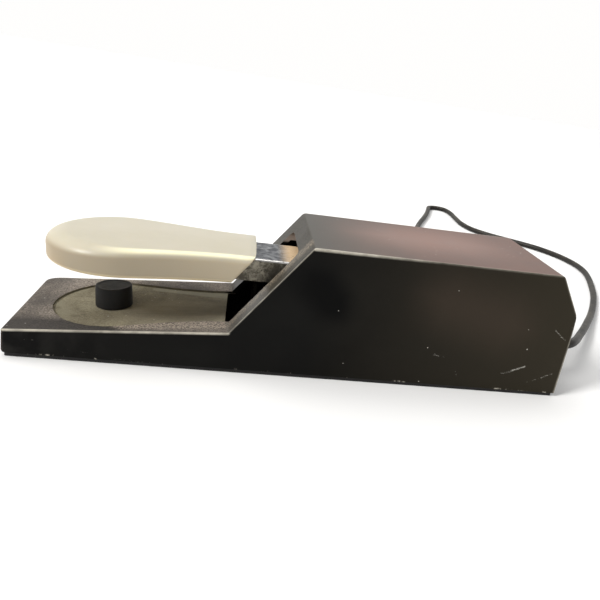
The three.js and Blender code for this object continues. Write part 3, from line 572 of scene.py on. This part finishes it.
def enamel():
    """Satin black enamel: dust and a painted sheen where it faces up, grime and a painted sleeve shadow in
    the recess, rubbed edges that carry painted highlights, nicks and scratches.
    """
    p = Paint("enamel", (0.004, 0.004, 0.0038), 0.4, 0, 0.06)
    zone = housing_zones(p)
    cloud = p.noise(36, 5, 0.65)
    patch = p.noise(75, 4, 0.6, distortion=0.4)
    speck = p.noise(1250, 3, 0.8)
    grain = p.noise(3000, 2, 0.6)
    streak = p.noise(30, 4, 0.6, p.stretched((1, 4.5, 1)))
    wear_and_highlight = enamel_wear_and_highlight(p, zone)
    marks = enamel_marks(p, zone)

    color = enamel_sides(p, zone, streak, patch)
    color = enamel_top(p, zone, color, cloud)
    color = enamel_ramp(p, zone, color, patch, speck)
    color = p.blend(zone.platform, color, enamel_platform(p, patch, speck))
    color = p.blend(zone.recess_wall, color, (0.20, 0.185, 0.145))
    color = p.blend(zone.mouth, color, (0.33, 0.27, 0.23))
    color = p.blend(zone.recess_floor, color, enamel_recess(p, patch, speck, streak))
    # pale rubbed edges, also painted edge highlights
    color = p.blend(p.times(wear_and_highlight, 0.85), color, (0.62, 0.58, 0.49))
    color = p.blend(p.times(marks, 0.8), color, (0.68, 0.66, 0.60))
    p.set("Base Color", color)

    rough = p.math("ADD", p.times(p.span(cloud, 0.3, 0.7), 0.12), 0.30)
    rough = p.math("ADD", rough, p.times(zone.platform, 0.35))
    p.set("Roughness", p.math("SUBTRACT", rough, p.times(wear_and_highlight, 0.08)))
    p.bump((grain, 0.12, 0.00015), (speck, 0.1, 0.0002), (p.math("SUBTRACT", 1.0, marks), 0.5, 0.00012))
    return p.material


def rubber(name, color=(0.012, 0.012, 0.013), roughness=0.62, dust=0.25):
    """Moulded black rubber with a dusty bloom on top and a fine pitted skin."""
    p = Paint(name, color, roughness, 0, 0.35)
    up = p.span(p.part(p.normal, "Z"), 0.2, 0.95)
    bloom = p.times(p.span(p.noise(140, 4, 0.6), 0.38, 0.75), p.math("ADD", p.times(up, dust), dust * 0.3))
    p.set("Base Color", p.blend(bloom, color, (0.16, 0.15, 0.135)))
    p.set("Roughness", p.math("ADD", p.times(p.noise(420, 3), 0.2), roughness - 0.1))
    p.bump((p.noise(1900, 2), 0.25, 0.0001), (p.noise(150, 3), 0.12, 0.0003))
    return p.material


def frosted_sleeve():
    """Frosted translucent silicone, cream, with painted shade on its sides and nose, a painted highlight
    along the top edge, a painted glow along the thin hem and grey rub marks.
    """
    p = Paint("frosted_sleeve", (0.6, 0.56, 0.44), 0.38, 0, 0.4)
    low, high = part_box("pedal_cover")
    x, z = p.part(p.place, "X"), p.part(p.place, "Z")
    facing_up = p.part(p.normal, "Z")
    cloud = p.noise(22, 4, 0.6)
    color = p.blend(p.span(cloud, 0.35, 0.7), (0.50, 0.462, 0.370), (0.465, 0.428, 0.325))
    # painted shade: the sides darker than the top, less so towards the rear
    side = p.span(facing_up, 0.75, 0.1, smooth=True)
    along = p.span(x, low.x, high.x)
    color = p.blend(side, color, p.blend(along, (0.27, 0.225, 0.155), (0.47, 0.40, 0.285)))
    # painted highlight: a bright band along the rounded top edge
    shoulder = p.times(
        p.span(facing_up, 0.995, 0.93, smooth=True),
        p.span(facing_up, 0.55, 0.85, smooth=True),
        p.span(x, low.x + 22 * MM, low.x + 48 * MM, smooth=True),
    )
    color = p.blend(p.times(shoulder, 0.9), color, (0.93, 0.87, 0.60))
    # painted shade at the nose, darker and more orange
    nose = p.times(p.span(x, low.x + 16 * MM, low.x + 2 * MM), p.span(z, high.z - 2 * MM, low.z + 3 * MM))
    color = p.blend(p.times(nose, 0.8), color, (0.37, 0.26, 0.125))
    # painted glow: a bright orange line along the thin hem
    hem_glow = p.span(z, low.z + 1.7 * MM, low.z + 0.5 * MM)
    color = p.blend(p.times(hem_glow, 0.6), color, (0.80, 0.64, 0.38))
    scuff = p.times(p.span(p.noise(130, 4, 0.7, p.stretched((0.4, 1, 1))), 0.6, 0.75), 0.16)
    color = p.blend(scuff, color, (0.36, 0.33, 0.26))
    p.set("Base Color", color)
    p.set("Roughness", p.math("ADD", p.times(cloud, 0.2), 0.3))
    p.set("Subsurface Weight", 0.3)
    p.set("Subsurface Radius", (0.004, 0.003, 0.0018))
    p.set("Subsurface Scale", 1.0)
    p.set("Coat Weight", 0.12)
    p.set("Coat Roughness", 0.28)
    p.bump((p.noise(1500, 2), 0.06, 0.0001), (p.noise(60, 3), 0.1, 0.0005))
    return p.material


def chrome_plate():
    """Chrome over pressed steel: clouded and pitted, its flat top painted mottled blue-black as a painted
    reflection, browned near the opening.
    """
    p = Paint("chrome_plate", (0.5, 0.5, 0.5), 0.16, 1.0)
    x = p.part(p.place, "X")
    facing_up = p.part(p.normal, "Z")
    pits = p.span(p.noise(650, 4, 0.65), 0.60, 0.68)
    patches = p.span(p.noise(170, 5, 0.75, distortion=1.5), 0.40, 0.56)
    flat_top = p.span(facing_up, 0.9, 0.98)
    # painted reflection: the flat top gets mottled grey and blue-black in place of bright chrome
    color = p.blend(patches, (0.19, 0.20, 0.215), (0.022, 0.026, 0.038))
    color = p.blend(flat_top, (0.62, 0.61, 0.59), color)
    flank = p.span(p.math("ABSOLUTE", p.part(p.normal, "Y")), 0.85, 0.97)
    color = p.blend(flank, color, p.blend(patches, (0.27, 0.25, 0.20), (0.11, 0.10, 0.08)))
    # browner, duller and less metallic near the opening
    brown_near_opening = p.span(x, station(113), station(120), smooth=True)
    brown_near_opening = p.times(brown_near_opening, p.span(x, station(140), station(126)))
    color = p.blend(p.times(brown_near_opening, flat_top, 0.9), color, (0.62, 0.45, 0.27))
    color = p.blend(p.times(pits, 0.75), color, (0.03, 0.028, 0.026))
    p.set("Base Color", color)
    rough = p.math("ADD", p.times(patches, 0.18), 0.16)
    rough = p.math("ADD", rough, p.times(flank, 0.2))
    p.set("Roughness", p.math("ADD", rough, p.times(brown_near_opening, 0.3)))
    p.set("Metallic", p.math("SUBTRACT", 1.0, p.times(brown_near_opening, flat_top, 0.75)))
    p.bump((pits, 0.35, 0.0002), (p.noise(75, 3, 0.5), 0.3, 0.0011), (p.noise(300, 3, 0.6), 0.2, 0.0004))
    return p.material


def plated_steel(name, color=(0.52, 0.52, 0.50), roughness=0.36):
    """Zinc-plated or drawn steel: faint grain, cloudy plating."""
    p = Paint(name, color, roughness, 1.0)
    cloud = p.noise(120, 4, 0.6)
    darker = tuple(c * 0.72 for c in color)
    p.set("Base Color", p.blend(p.span(cloud, 0.35, 0.7), color, darker))
    p.set("Roughness", p.math("ADD", p.times(cloud, 0.22), roughness - 0.1))
    p.bump((p.noise(700, 2, 0.6, p.stretched((0.06, 1, 1))), 0.15, 0.0001))
    return p.material


def moulded(name, color, roughness=0.5):
    """Plain moulded plastic with a fine spark texture."""
    p = Paint(name, color, roughness, 0, 0.45)
    darker = tuple(c * 0.8 for c in color)
    p.set("Base Color", p.blend(p.span(p.noise(60, 3), 0.3, 0.7), color, darker))
    p.set("Roughness", p.math("ADD", p.times(p.noise(300, 3), 0.16), roughness - 0.08))
    p.bump((p.noise(2200, 2), 0.2, 0.0001))
    return p.material


def woven(name, color, scale=900):
    """Woven or felted fabric: crossing threads and a soft fuzz."""
    p = Paint(name, color, 0.92, 0, 0.2)
    inputs = {"Vector": p.place, "Scale": scale * 0.7, "Distortion": 1.5}
    threads = [p.node("ShaderNodeTexWave", inputs, bands_direction=axis).outputs["Fac"] for axis in "XY"]
    weave = p.most(*threads)
    fuzz = p.noise(scale * 2, 3, 0.7)
    darker = tuple(c * 0.55 for c in color)
    p.set("Base Color", p.blend(p.times(weave, fuzz), darker, color))
    p.set("Sheen Weight", 0.3)
    p.bump((weave, 0.4, 0.0002), (fuzz, 0.4, 0.0002))
    return p.material


def cord_jacket():
    """Matt black flexible jacket, a little dusty and handled."""
    p = Paint("cord_jacket", (0.012, 0.011, 0.010), 0.5, 0, 0.22)
    up = p.span(p.part(p.normal, "Z"), 0.1, 1.0)
    dust = p.times(up, p.span(p.noise(70, 4, 0.6), 0.35, 0.75), 0.3)
    p.set("Base Color", p.blend(dust, (0.013, 0.0115, 0.0095), (0.19, 0.165, 0.125)))
    p.set("Roughness", p.math("ADD", p.times(p.noise(240, 3), 0.25), 0.36))
    p.bump((p.noise(1300, 2), 0.18, 0.0001), (p.noise(110, 3), 0.2, 0.0003))
    return p.material


MATERIALS = {
    "enamel": enamel(),
    "rubber": rubber("stop_rubber", (0.0045, 0.0045, 0.0046), 0.6, 0.1),
    "mat": rubber("mat_rubber", (0.014, 0.014, 0.014), 0.7, 0.1),
    "sleeve": frosted_sleeve(),
    "chrome": chrome_plate(),
    "steel": plated_steel("plated_steel"),
    "spring": plated_steel("spring_wire", (0.42, 0.42, 0.41), 0.3),
    "nickel": plated_steel("nickel", (0.74, 0.71, 0.64), 0.22),
    "brass": plated_steel("stamped_brass", (0.72, 0.52, 0.24), 0.32),
    "nylon": moulded("natural_nylon", (0.72, 0.69, 0.60), 0.5),
    "plastic": moulded("black_plastic", (0.018, 0.018, 0.019), 0.45),
    "felt": woven("grey_felt", (0.30, 0.30, 0.27)),
    "tie": woven("tie_weave", (0.022, 0.022, 0.024), 700),
    "cord": cord_jacket(),
}


def finish_with(obj, key):
    obj.data.materials.clear()
    obj.data.materials.append(MATERIALS[key])
    return obj


# ---- studio: floor, world and lights ----
FRONT_LIGHT = 0.36  # strength of the world from the camera's side
BACK_LIGHT = 0.86  # and from above and behind


def make_floor():
    def build(bm):
        corners = [(-6, -3), (6, -3), (6, 6), (-6, 6)]
        bm.faces.new([bm.verts.new((x, y, -0.0001)) for x, y in corners])

    floor = mesh_object("floor", build, smooth=False)
    p = Paint("studio_floor", (0.93, 0.93, 0.93), 0.75, 0, 0.1)
    p.set("Emission Color", (1, 1, 1, 1))
    p.set("Emission Strength", 0.05)
    p.set("Base Color", p.blend(p.noise(5, 2), (0.83, 0.83, 0.83), (0.81, 0.81, 0.81)))
    floor.data.materials.append(p.material)


def make_world():
    """White all round to look at; as a light it is bright above and behind and dimmer from the front."""
    world = bpy.data.worlds.new("studio")
    world.use_nodes = True
    tree = world.node_tree
    background = tree.nodes["Background"]
    place = tree.nodes.new("ShaderNodeTexCoord")
    split = tree.nodes.new("ShaderNodeSeparateXYZ")
    tree.links.new(place.outputs["Generated"], split.inputs[0])
    front = tree.nodes.new("ShaderNodeMapRange")
    for socket, value in enumerate((-0.75, 0.35, FRONT_LIGHT, BACK_LIGHT), start=1):
        front.inputs[socket].default_value = value
    tree.links.new(split.outputs[1], front.inputs[0])
    ray = tree.nodes.new("ShaderNodeLightPath")
    seen = tree.nodes.new("ShaderNodeMix")
    seen.inputs[3].default_value = 1.0
    tree.links.new(ray.outputs["Is Camera Ray"], seen.inputs[0])
    tree.links.new(front.outputs[0], seen.inputs[2])
    tree.links.new(seen.outputs[0], background.inputs["Strength"])
    background.inputs["Color"].default_value = (1.0, 0.995, 0.985, 1)
    bpy.context.scene.world = world


def area_light(name, place, target, size, power, color=(1, 1, 1)):
    data = bpy.data.lights.new(name, "AREA")
    data.shape = "RECTANGLE"
    data.size, data.size_y = size
    data.energy = power
    data.color = color
    light = bpy.data.objects.new(name, data)
    light.location = place
    light.rotation_euler = (Vector(target) - Vector(place)).to_track_quat("-Z", "Y").to_euler()
    bpy.context.scene.collection.objects.link(light)


def soft_sun(name, direction, strength, spread, color):
    """Even light over the whole floor, with soft-edged shadows."""
    data = bpy.data.lights.new(name, "SUN")
    data.energy = strength
    data.angle = math.radians(spread)
    data.color = color
    light = bpy.data.objects.new(name, data)
    light.rotation_euler = Vector(direction).to_track_quat("-Z", "Y").to_euler()
    bpy.context.scene.collection.objects.link(light)


make_floor()
make_world()
soft_sun("key", (1.0, 0.48, -0.86), 2.8, 16, (1.0, 0.985, 0.96))
area_light("overhead", (-0.2, 0.25, 0.9), (0, 0, 0), (0.7, 0.5), 2.5, (1.0, 0.985, 0.96))
bpy.context.scene.view_settings.view_transform = "Standard"


# ---- CAD nodes that keep their shape ----
def node_object(name):
    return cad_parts[name]


def soften(name, width, angle=28, segments=3, dissolve=None):
    """Rounds a CAD node's sharp edges in a modifier; the mesh itself stays as it is."""
    obj = node_object(name)
    if dissolve:
        flat = obj.modifiers.new("flat", "DECIMATE")
        flat.decimate_type = "DISSOLVE"
        flat.angle_limit = math.radians(dissolve)
    bevel = obj.modifiers.new("edges", "BEVEL")
    bevel.width = width
    bevel.segments = segments
    bevel.limit_method = "ANGLE"
    bevel.angle_limit = math.radians(angle)
    bevel.harden_normals = True
    bevel.use_clamp_overlap = not dissolve
    for polygon in obj.data.polygons:
        polygon.use_smooth = True
    return obj


NODE_FINISHES = {
    "enamel": ["housing_shell"],
    "mat": ["rubber_mat"],
    "chrome": ["lever"],
    "plastic": ["spring_seat", "switch_body"],
    "nylon": ["bush_near", "bush_far", "cord_clamp", "lead_white", "switch_plunger"],
    "brass": ["terminal_common", "terminal_closed", "terminal_open"],
    "felt": ["rest_pad"],
    "cord": ["cord_inner", "lead_black"],
    "spring": ["pin_clip_near", "pin_clip_far"],
    "steel": [
        "base_plate", "pivot_bracket", "stop_bracket", "switch_bracket", "pivot_pin", "spring_stud",
        "striker_screw",
        "bracket_screw_1", "bracket_screw_2", "clamp_screw_1", "stop_screw", "switch_foot_screw",
        "switch_nut_1", "switch_nut_2", "switch_screw_1", "switch_screw_2",
        *[f"base_screw_{i}" for i in range(1, 7)],
    ],
}
for finish, names in NODE_FINISHES.items():
    for name in names:
        finish_with(node_object(name), finish)
        if name != "housing_shell":
            soften(name, 0.25 * MM, 32, 2)
soften("housing_shell", 0.55 * MM, 26, 3, dissolve=0.4)


# ---- the sleeve over the paddle ----
SLEEVE_LOW, SLEEVE_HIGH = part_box("pedal_cover")
COVER_TIP = 8.7
COVER_WIDE = (41, 31.4)
COVER_WAIST = (92, 22.6)
COVER_END = 103.2  # at the top of the sleeve
COVER_LEAN = 0.777
SHOULDER = 4.8  # how far in the soft top edge reaches
NOSE_SHOULDER = 5.0  # how much further it reaches round the nose
SOFT_NOSE = 72.0  # the soft nose fades out at this station
NOSE_CENTRE = 40  # the crown of the round front is drawn in to here
CROWN_FALL = 0.3  # from the middle of the top to the shoulder
SHOULDER_FALL = 4.2
NOSE_FALL = 2.2  # how much further the shoulder falls round the nose
HEM_RADIUS = 1.5


def bezier(points, steps):
    a, b, c, d = [Vector(p) for p in points]
    result = []
    for i in range(1, steps + 1):
        t = i / steps
        u = 1 - t
        result.append(a * u ** 3 + b * 3 * u * u * t + c * 3 * u * t * t + d * t ** 3)
    return result


def paddle_half(inset, end):
    """Half the round-nosed outline, from its rear end to its tip: (station, half width) in millimetres."""
    tip = COVER_TIP + inset
    wide_x, wide = COVER_WIDE[0], COVER_WIDE[1] - inset
    waist_x, narrow = COVER_WAIST[0], COVER_WAIST[1] - inset
    nose = (wide_x - tip) * 0.38
    flank = (waist_x - wide_x) * 0.2
    straight = [Vector((end + (waist_x - end) * i / 3, narrow)) for i in range(4)]
    swell = [(waist_x - flank * 2.4, narrow + 1.6), (wide_x + flank, wide)]
    side = bezier([(waist_x, narrow), *swell, (wide_x, wide)], 22)
    front = bezier([(wide_x, wide), (tip + nose, wide), (tip, wide * 0.45), (tip, 0)], 22)
    return [*straight, *side, *front]


def sleeve_ring(inset, height, share=1.0, nose_inset=0.0, nose_drop=0.0):
    """The whole outline at a height; share draws it to the middle, the nose values change the front."""
    end = COVER_END - (SLEEVE_HIGH.z / MM - height) * COVER_LEAN
    half = []
    for plain, blunt in zip(paddle_half(inset, end), paddle_half(inset + nose_inset, end)):
        weight = smoothstep((SOFT_NOSE - plain.x) / SOFT_NOSE)
        place = plain.lerp(blunt, weight)
        half.append((place.x, place.y, height - nose_drop * weight))
    other = [(x, -y, z) for x, y, z in reversed(half[:-1])]
    points = []
    for x, y, z in [*half, *other]:
        middle = max(x, NOSE_CENTRE)
        points.append((station(middle + (x - middle) * share), y * share * MM, z * MM))
    return points


def sleeve(bm):
    top, bottom = SLEEVE_HIGH.z / MM, SLEEVE_LOW.z / MM
    outer = []
    for share in (0.0, 0.3, 0.55, 0.75, 0.9):
        outer.append(sleeve_ring(SHOULDER, top - CROWN_FALL * share ** 2, share, NOSE_SHOULDER))
    for i in range(13):  # the soft top edge
        angle = math.pi / 2 * i / 12
        reach, fall = 1 - math.sin(angle), 1 - math.cos(angle)
        height = top - CROWN_FALL - 0.02 - SHOULDER_FALL * fall
        outer.append(sleeve_ring(SHOULDER * reach, height, 1.0, NOSE_SHOULDER * reach, NOSE_FALL * fall))
    outer.append(sleeve_ring(0.1, (top + bottom) / 2 - 1.5))
    for i in range(6):  # the tighter bottom edge
        angle = math.pi / 2 * i / 5
        inset = 0.35 + HEM_RADIUS * (1 - math.cos(angle))
        outer.append(sleeve_ring(inset, bottom + HEM_RADIUS * (1 - math.sin(angle))))
    for share in (0.9, 0.5, 0.0):
        outer.append(sleeve_ring(0.35 + HEM_RADIUS, bottom, share))
    inner = [sleeve_ring(3.2, top - 1.6, share, NOSE_SHOULDER * 0.9) for share in (0.0, 0.6, 1.0)]
    inner.append(sleeve_ring(2.2, top - 3.4, 1.0, 1.2, 2.6))
    inner += [sleeve_ring(2.2, bottom + 1.2, share) for share in (1.0, 0.6, 0.0)]
    skins = []
    for rings in (outer, inner):
        rows = [[bm.verts.new(p) for p in ring] for ring in rings]
        for lower, upper in zip(rows, rows[1:]):
            for a, b, c, d in zip(lower, lower[1:], upper[1:], upper):
                bm.faces.new((a, b, c, d))
        skins.append(rows)
    for end in (0, -1):  # the rim round the open mouth
        rim = [row[end] for row in skins[0]]
        lip = [row[end] for row in skins[1]]
        matches = [min(range(len(lip)), key=lambda k: (lip[k].co - v.co).length) for v in rim]
        matches = [max(matches[: i + 1]) for i in range(len(matches))]
        matches[0], matches[-1] = 0, len(lip) - 1
        for i in range(len(rim) - 1):
            a, b = matches[i], matches[i + 1]
            corners = [rim[i], rim[i + 1], *[lip[k] for k in range(b, a - 1, -1)]]
            bm.faces.new(corners)
    bmesh.ops.remove_doubles(bm, verts=bm.verts, dist=0.00002)


cover = mesh_object("sleeve", sleeve)
rim_bevel = cover.modifiers.new("rim", "BEVEL")
rim_bevel.width = 0.5 * MM
rim_bevel.segments = 3
rim_bevel.angle_limit = math.radians(50)
finish_with(cover, "sleeve")
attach(cover, "pedal")
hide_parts("pedal_cover")


# ---- the stop the paddle comes down on ----
BUMPER_AT = 39.3
BUMPER_RADIUS = 8.4 * MM
BUMPER_HEIGHT = 9.9 * MM


def bumper_stop():
    foot, stem = -0.7 * MM, -5.5 * MM
    top = foot + BUMPER_HEIGHT
    r = BUMPER_RADIUS
    profile = [
        (0, stem), (1.6 * MM, stem), (3.5 * MM, stem + 1.6 * MM), (3.5 * MM, -2.5 * MM),
        (2.4 * MM, -2.5 * MM), (2.4 * MM, foot), (r - 0.05 * MM, foot), (r, foot + 1 * MM),
        (r - 0.15 * MM, top), (r - 1.2 * MM, top), (r - 1.9 * MM, top - 0.18 * MM),
        (r * 0.5, top - 0.22 * MM), (0, top - 0.2 * MM),
    ]
    stop = turned("bumper_stop", rounded(profile, 0.35 * MM), (0, 0, 0), "z", 96)
    stop.location = (station(BUMPER_AT), 0, TOE_TOP[1] + PLATFORM_SLOPE * BUMPER_AT * MM)
    stop.rotation_euler = (0, -math.atan(PLATFORM_SLOPE), 0)
    return stop


stop = bumper_stop()
finish_with(stop, "rubber")
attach(stop, "housing")
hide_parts("bumper")


# ---- return spring ----
def spring_wire():
    low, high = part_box("return_spring")
    wire = 0.7 * MM
    radius = (high.y - low.y) / 2 - wire
    middle = station(150)
    turns, per_turn = 8, 40
    points = []
    for i in range(turns * per_turn + 1):
        turn = i / per_turn
        open_share = min(max((turn - 1) / (turns - 2), 0), 1)
        height = low.z + wire + open_share * (high.z - low.z - 2 * wire - 4 * wire)
        height += 2 * wire * min(turn, 1) + 2 * wire * max(turn - (turns - 1), 0)
        angle = 2 * math.pi * turn
        points.append((middle + radius * math.cos(angle), radius * math.sin(angle), height))
    return paler_to_opening("spring_coil", points, wire)


spring = spring_wire()
finish_with(spring, "spring")
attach(spring, "housing")
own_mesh(spring)
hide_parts("return_spring")


# ---- cord, its strain relief, tie and plug ----
def ribbed_relief():
    low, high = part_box("strain_relief")
    inside, outside = station(253.8), station(256.9)
    bore = CORD_RADIUS + 0.3 * MM
    ribs = 6
    start, end = outside + 3 * MM, high.x
    profile = [
        (bore, low.x), (6.2 * MM, low.x), (6.2 * MM, inside - 0.8 * MM), (4.6 * MM, inside - 0.8 * MM),
        (4.6 * MM, outside), (6.6 * MM, outside), (6.4 * MM, outside + 1.9 * MM),
        (4.8 * MM, outside + 2.5 * MM),
    ]
    for i in range(ribs):
        left = start + (end - start) * i / ribs
        right = start + (end - start) * (i + 0.62) / ribs
        radius = 4.8 * MM + (CORD_RADIUS + 0.6 * MM - 4.8 * MM) * i / (ribs - 1)
        profile += [(radius - 0.9 * MM * (i > 0), left), (radius, left + 0.25 * MM)]
        profile += [(radius, right), (radius - 0.9 * MM, right + 0.2 * MM)]
    profile[-1] = (profile[-2][0], end)
    profile += [(0, end), (0, low.x + 11.5 * MM), (bore, low.x + 11.5 * MM), (bore, low.x)]
    profile = [(max(r, 0), h) for r, h in profile]
    return turned("cord_relief", profile[:-1], (0, 0, EXIT[2]), "x", 48)


def tie_strap():
    low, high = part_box("cord_tie")
    thickness = 1.1 * MM
    corner = 3 * MM
    middle_x, middle_z = (low.x + high.x) / 2, (low.z + high.z) / 2
    half_x, half_z = (high.x - low.x) / 2, (high.z - low.z) / 2

    def loop(inset):
        points = []
        for k in range(4):
            sign_x, sign_z = ((1, 1), (-1, 1), (-1, -1), (1, -1))[k]
            radius = corner - inset
            centre = (middle_x + sign_x * (half_x - corner), middle_z + sign_z * (half_z - corner))
            for i in range(7):
                angle = math.pi / 2 * (k + i / 6)
                points.append((centre[0] + radius * math.cos(angle), centre[1] + radius * math.sin(angle)))
        return points

    def build(bm):
        rows = []
        section = [(0, low.y), (0, high.y), (thickness, high.y), (thickness, low.y)]
        for inset, y in section:
            rows.append([bm.verts.new((x, y, z)) for x, z in loop(inset)])
        count = len(rows[0])
        for a, b in zip(rows, rows[1:] + rows[:1]):
            for i in range(count):
                j = (i + 1) % count
                bm.faces.new((a[i], a[j], b[j], b[i]))

    strap = mesh_object("tie_strap", build)
    bevel = strap.modifiers.new("edges", "BEVEL")
    bevel.width = 0.3 * MM
    bevel.segments = 2
    return strap


def plug_shell():
    front, back, r = PLUG_LOW.x, PLUG_HIGH.x, 7 * MM
    profile = [(0, front), (5.6 * MM, front), (r, front + 1.4 * MM)]
    grooves = 9
    for i in range(grooves):
        x = front + 6 * MM + 2.1 * MM * i
        profile += [(r, x), (r - 0.45 * MM, x + 0.25 * MM)]
        profile += [(r - 0.45 * MM, x + 0.75 * MM), (r, x + 1.0 * MM)]
    profile += [(r, back - 3 * MM), (5.2 * MM, back), (0, back)]
    return turned("plug_shell", rounded(profile, 0.3 * MM, 3), (0, *PLUG_AXIS), "x", 64)


def plug_end():
    low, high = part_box("plug_relief")
    length = high.x - low.x
    profile = [(0, low.x), (4.4 * MM, low.x)]
    for i in range(3):
        x = low.x + length * (0.12 + 0.28 * i)
        radius = 4.3 * MM + (CORD_RADIUS + 0.5 * MM - 4.3 * MM) * (i + 0.5) / 3
        groove = radius - 0.7 * MM
        profile += [(radius, x), (radius, x + length * 0.16)]
        profile += [(groove, x + length * 0.19), (groove, x + length * 0.26)]
    profile += [(CORD_RADIUS + 0.6 * MM, high.x), (0, high.x)]
    return turned("plug_end", profile, (0, *PLUG_AXIS), "x", 48)


def jack_piece(name, profile):
    return turned(name, rounded(profile, 0.25 * MM, 3), (0, *PLUG_AXIS), "x", 48)


def jack_pieces():
    """The barrel, the insulating band and the point: (name, CAD node, profile, finish)."""
    r = 3.175 * MM
    barrel_low, barrel_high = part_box("jack_sleeve")
    band_low, band_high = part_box("jack_insulator")
    tip_low, tip_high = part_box("jack_tip")
    barrel = [(0, barrel_low.x), (r, barrel_low.x), (r, barrel_high.x), (0, barrel_high.x)]
    band = [(0, band_low.x), (r, band_low.x), (r, band_high.x), (0, band_high.x)]
    point = [
        (0, tip_low.x), (0.9 * MM, tip_low.x + 0.2 * MM), (2.9 * MM, tip_low.x + 3.4 * MM),
        (2.9 * MM, tip_low.x + 4 * MM), (2.1 * MM, tip_low.x + 5.4 * MM), (r, tip_low.x + 6.6 * MM),
        (r, tip_high.x), (0, tip_high.x),
    ]
    return [
        ("jack_barrel", "jack_sleeve", barrel, "nickel"),
        ("jack_band", "jack_insulator", band, "plastic"),
        ("jack_point", "jack_tip", point, "nickel"),
    ]


relief = ribbed_relief()
strap = tie_strap()
plug = plug_shell()
boot = plug_end()
pieces_on_cord = [
    (relief, "strain_relief", "rubber", "relief_rubber"),
    (strap, "cord_tie", "tie", "tie_fabric"),
    (plug, "plug_body", "plastic", "plug_plastic"),
    (boot, "plug_relief", "rubber", "relief_rubber"),
]
for name, node, profile, finish in jack_pieces():
    slot = "jack_metal" if finish == "nickel" else "inner_plastic"
    pieces_on_cord.append((jack_piece(name, profile), node, finish, slot))
for piece, node, finish, slot in pieces_on_cord:
    finish_with(piece, finish)
    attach(piece, "housing")
    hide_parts(node)

line = cord_line()
cord = tube("cord", line, CORD_RADIUS, 4)
finish_with(cord, "cord")
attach(cord, "housing")
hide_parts("cord_run", "cord_coil", "cord_tail")
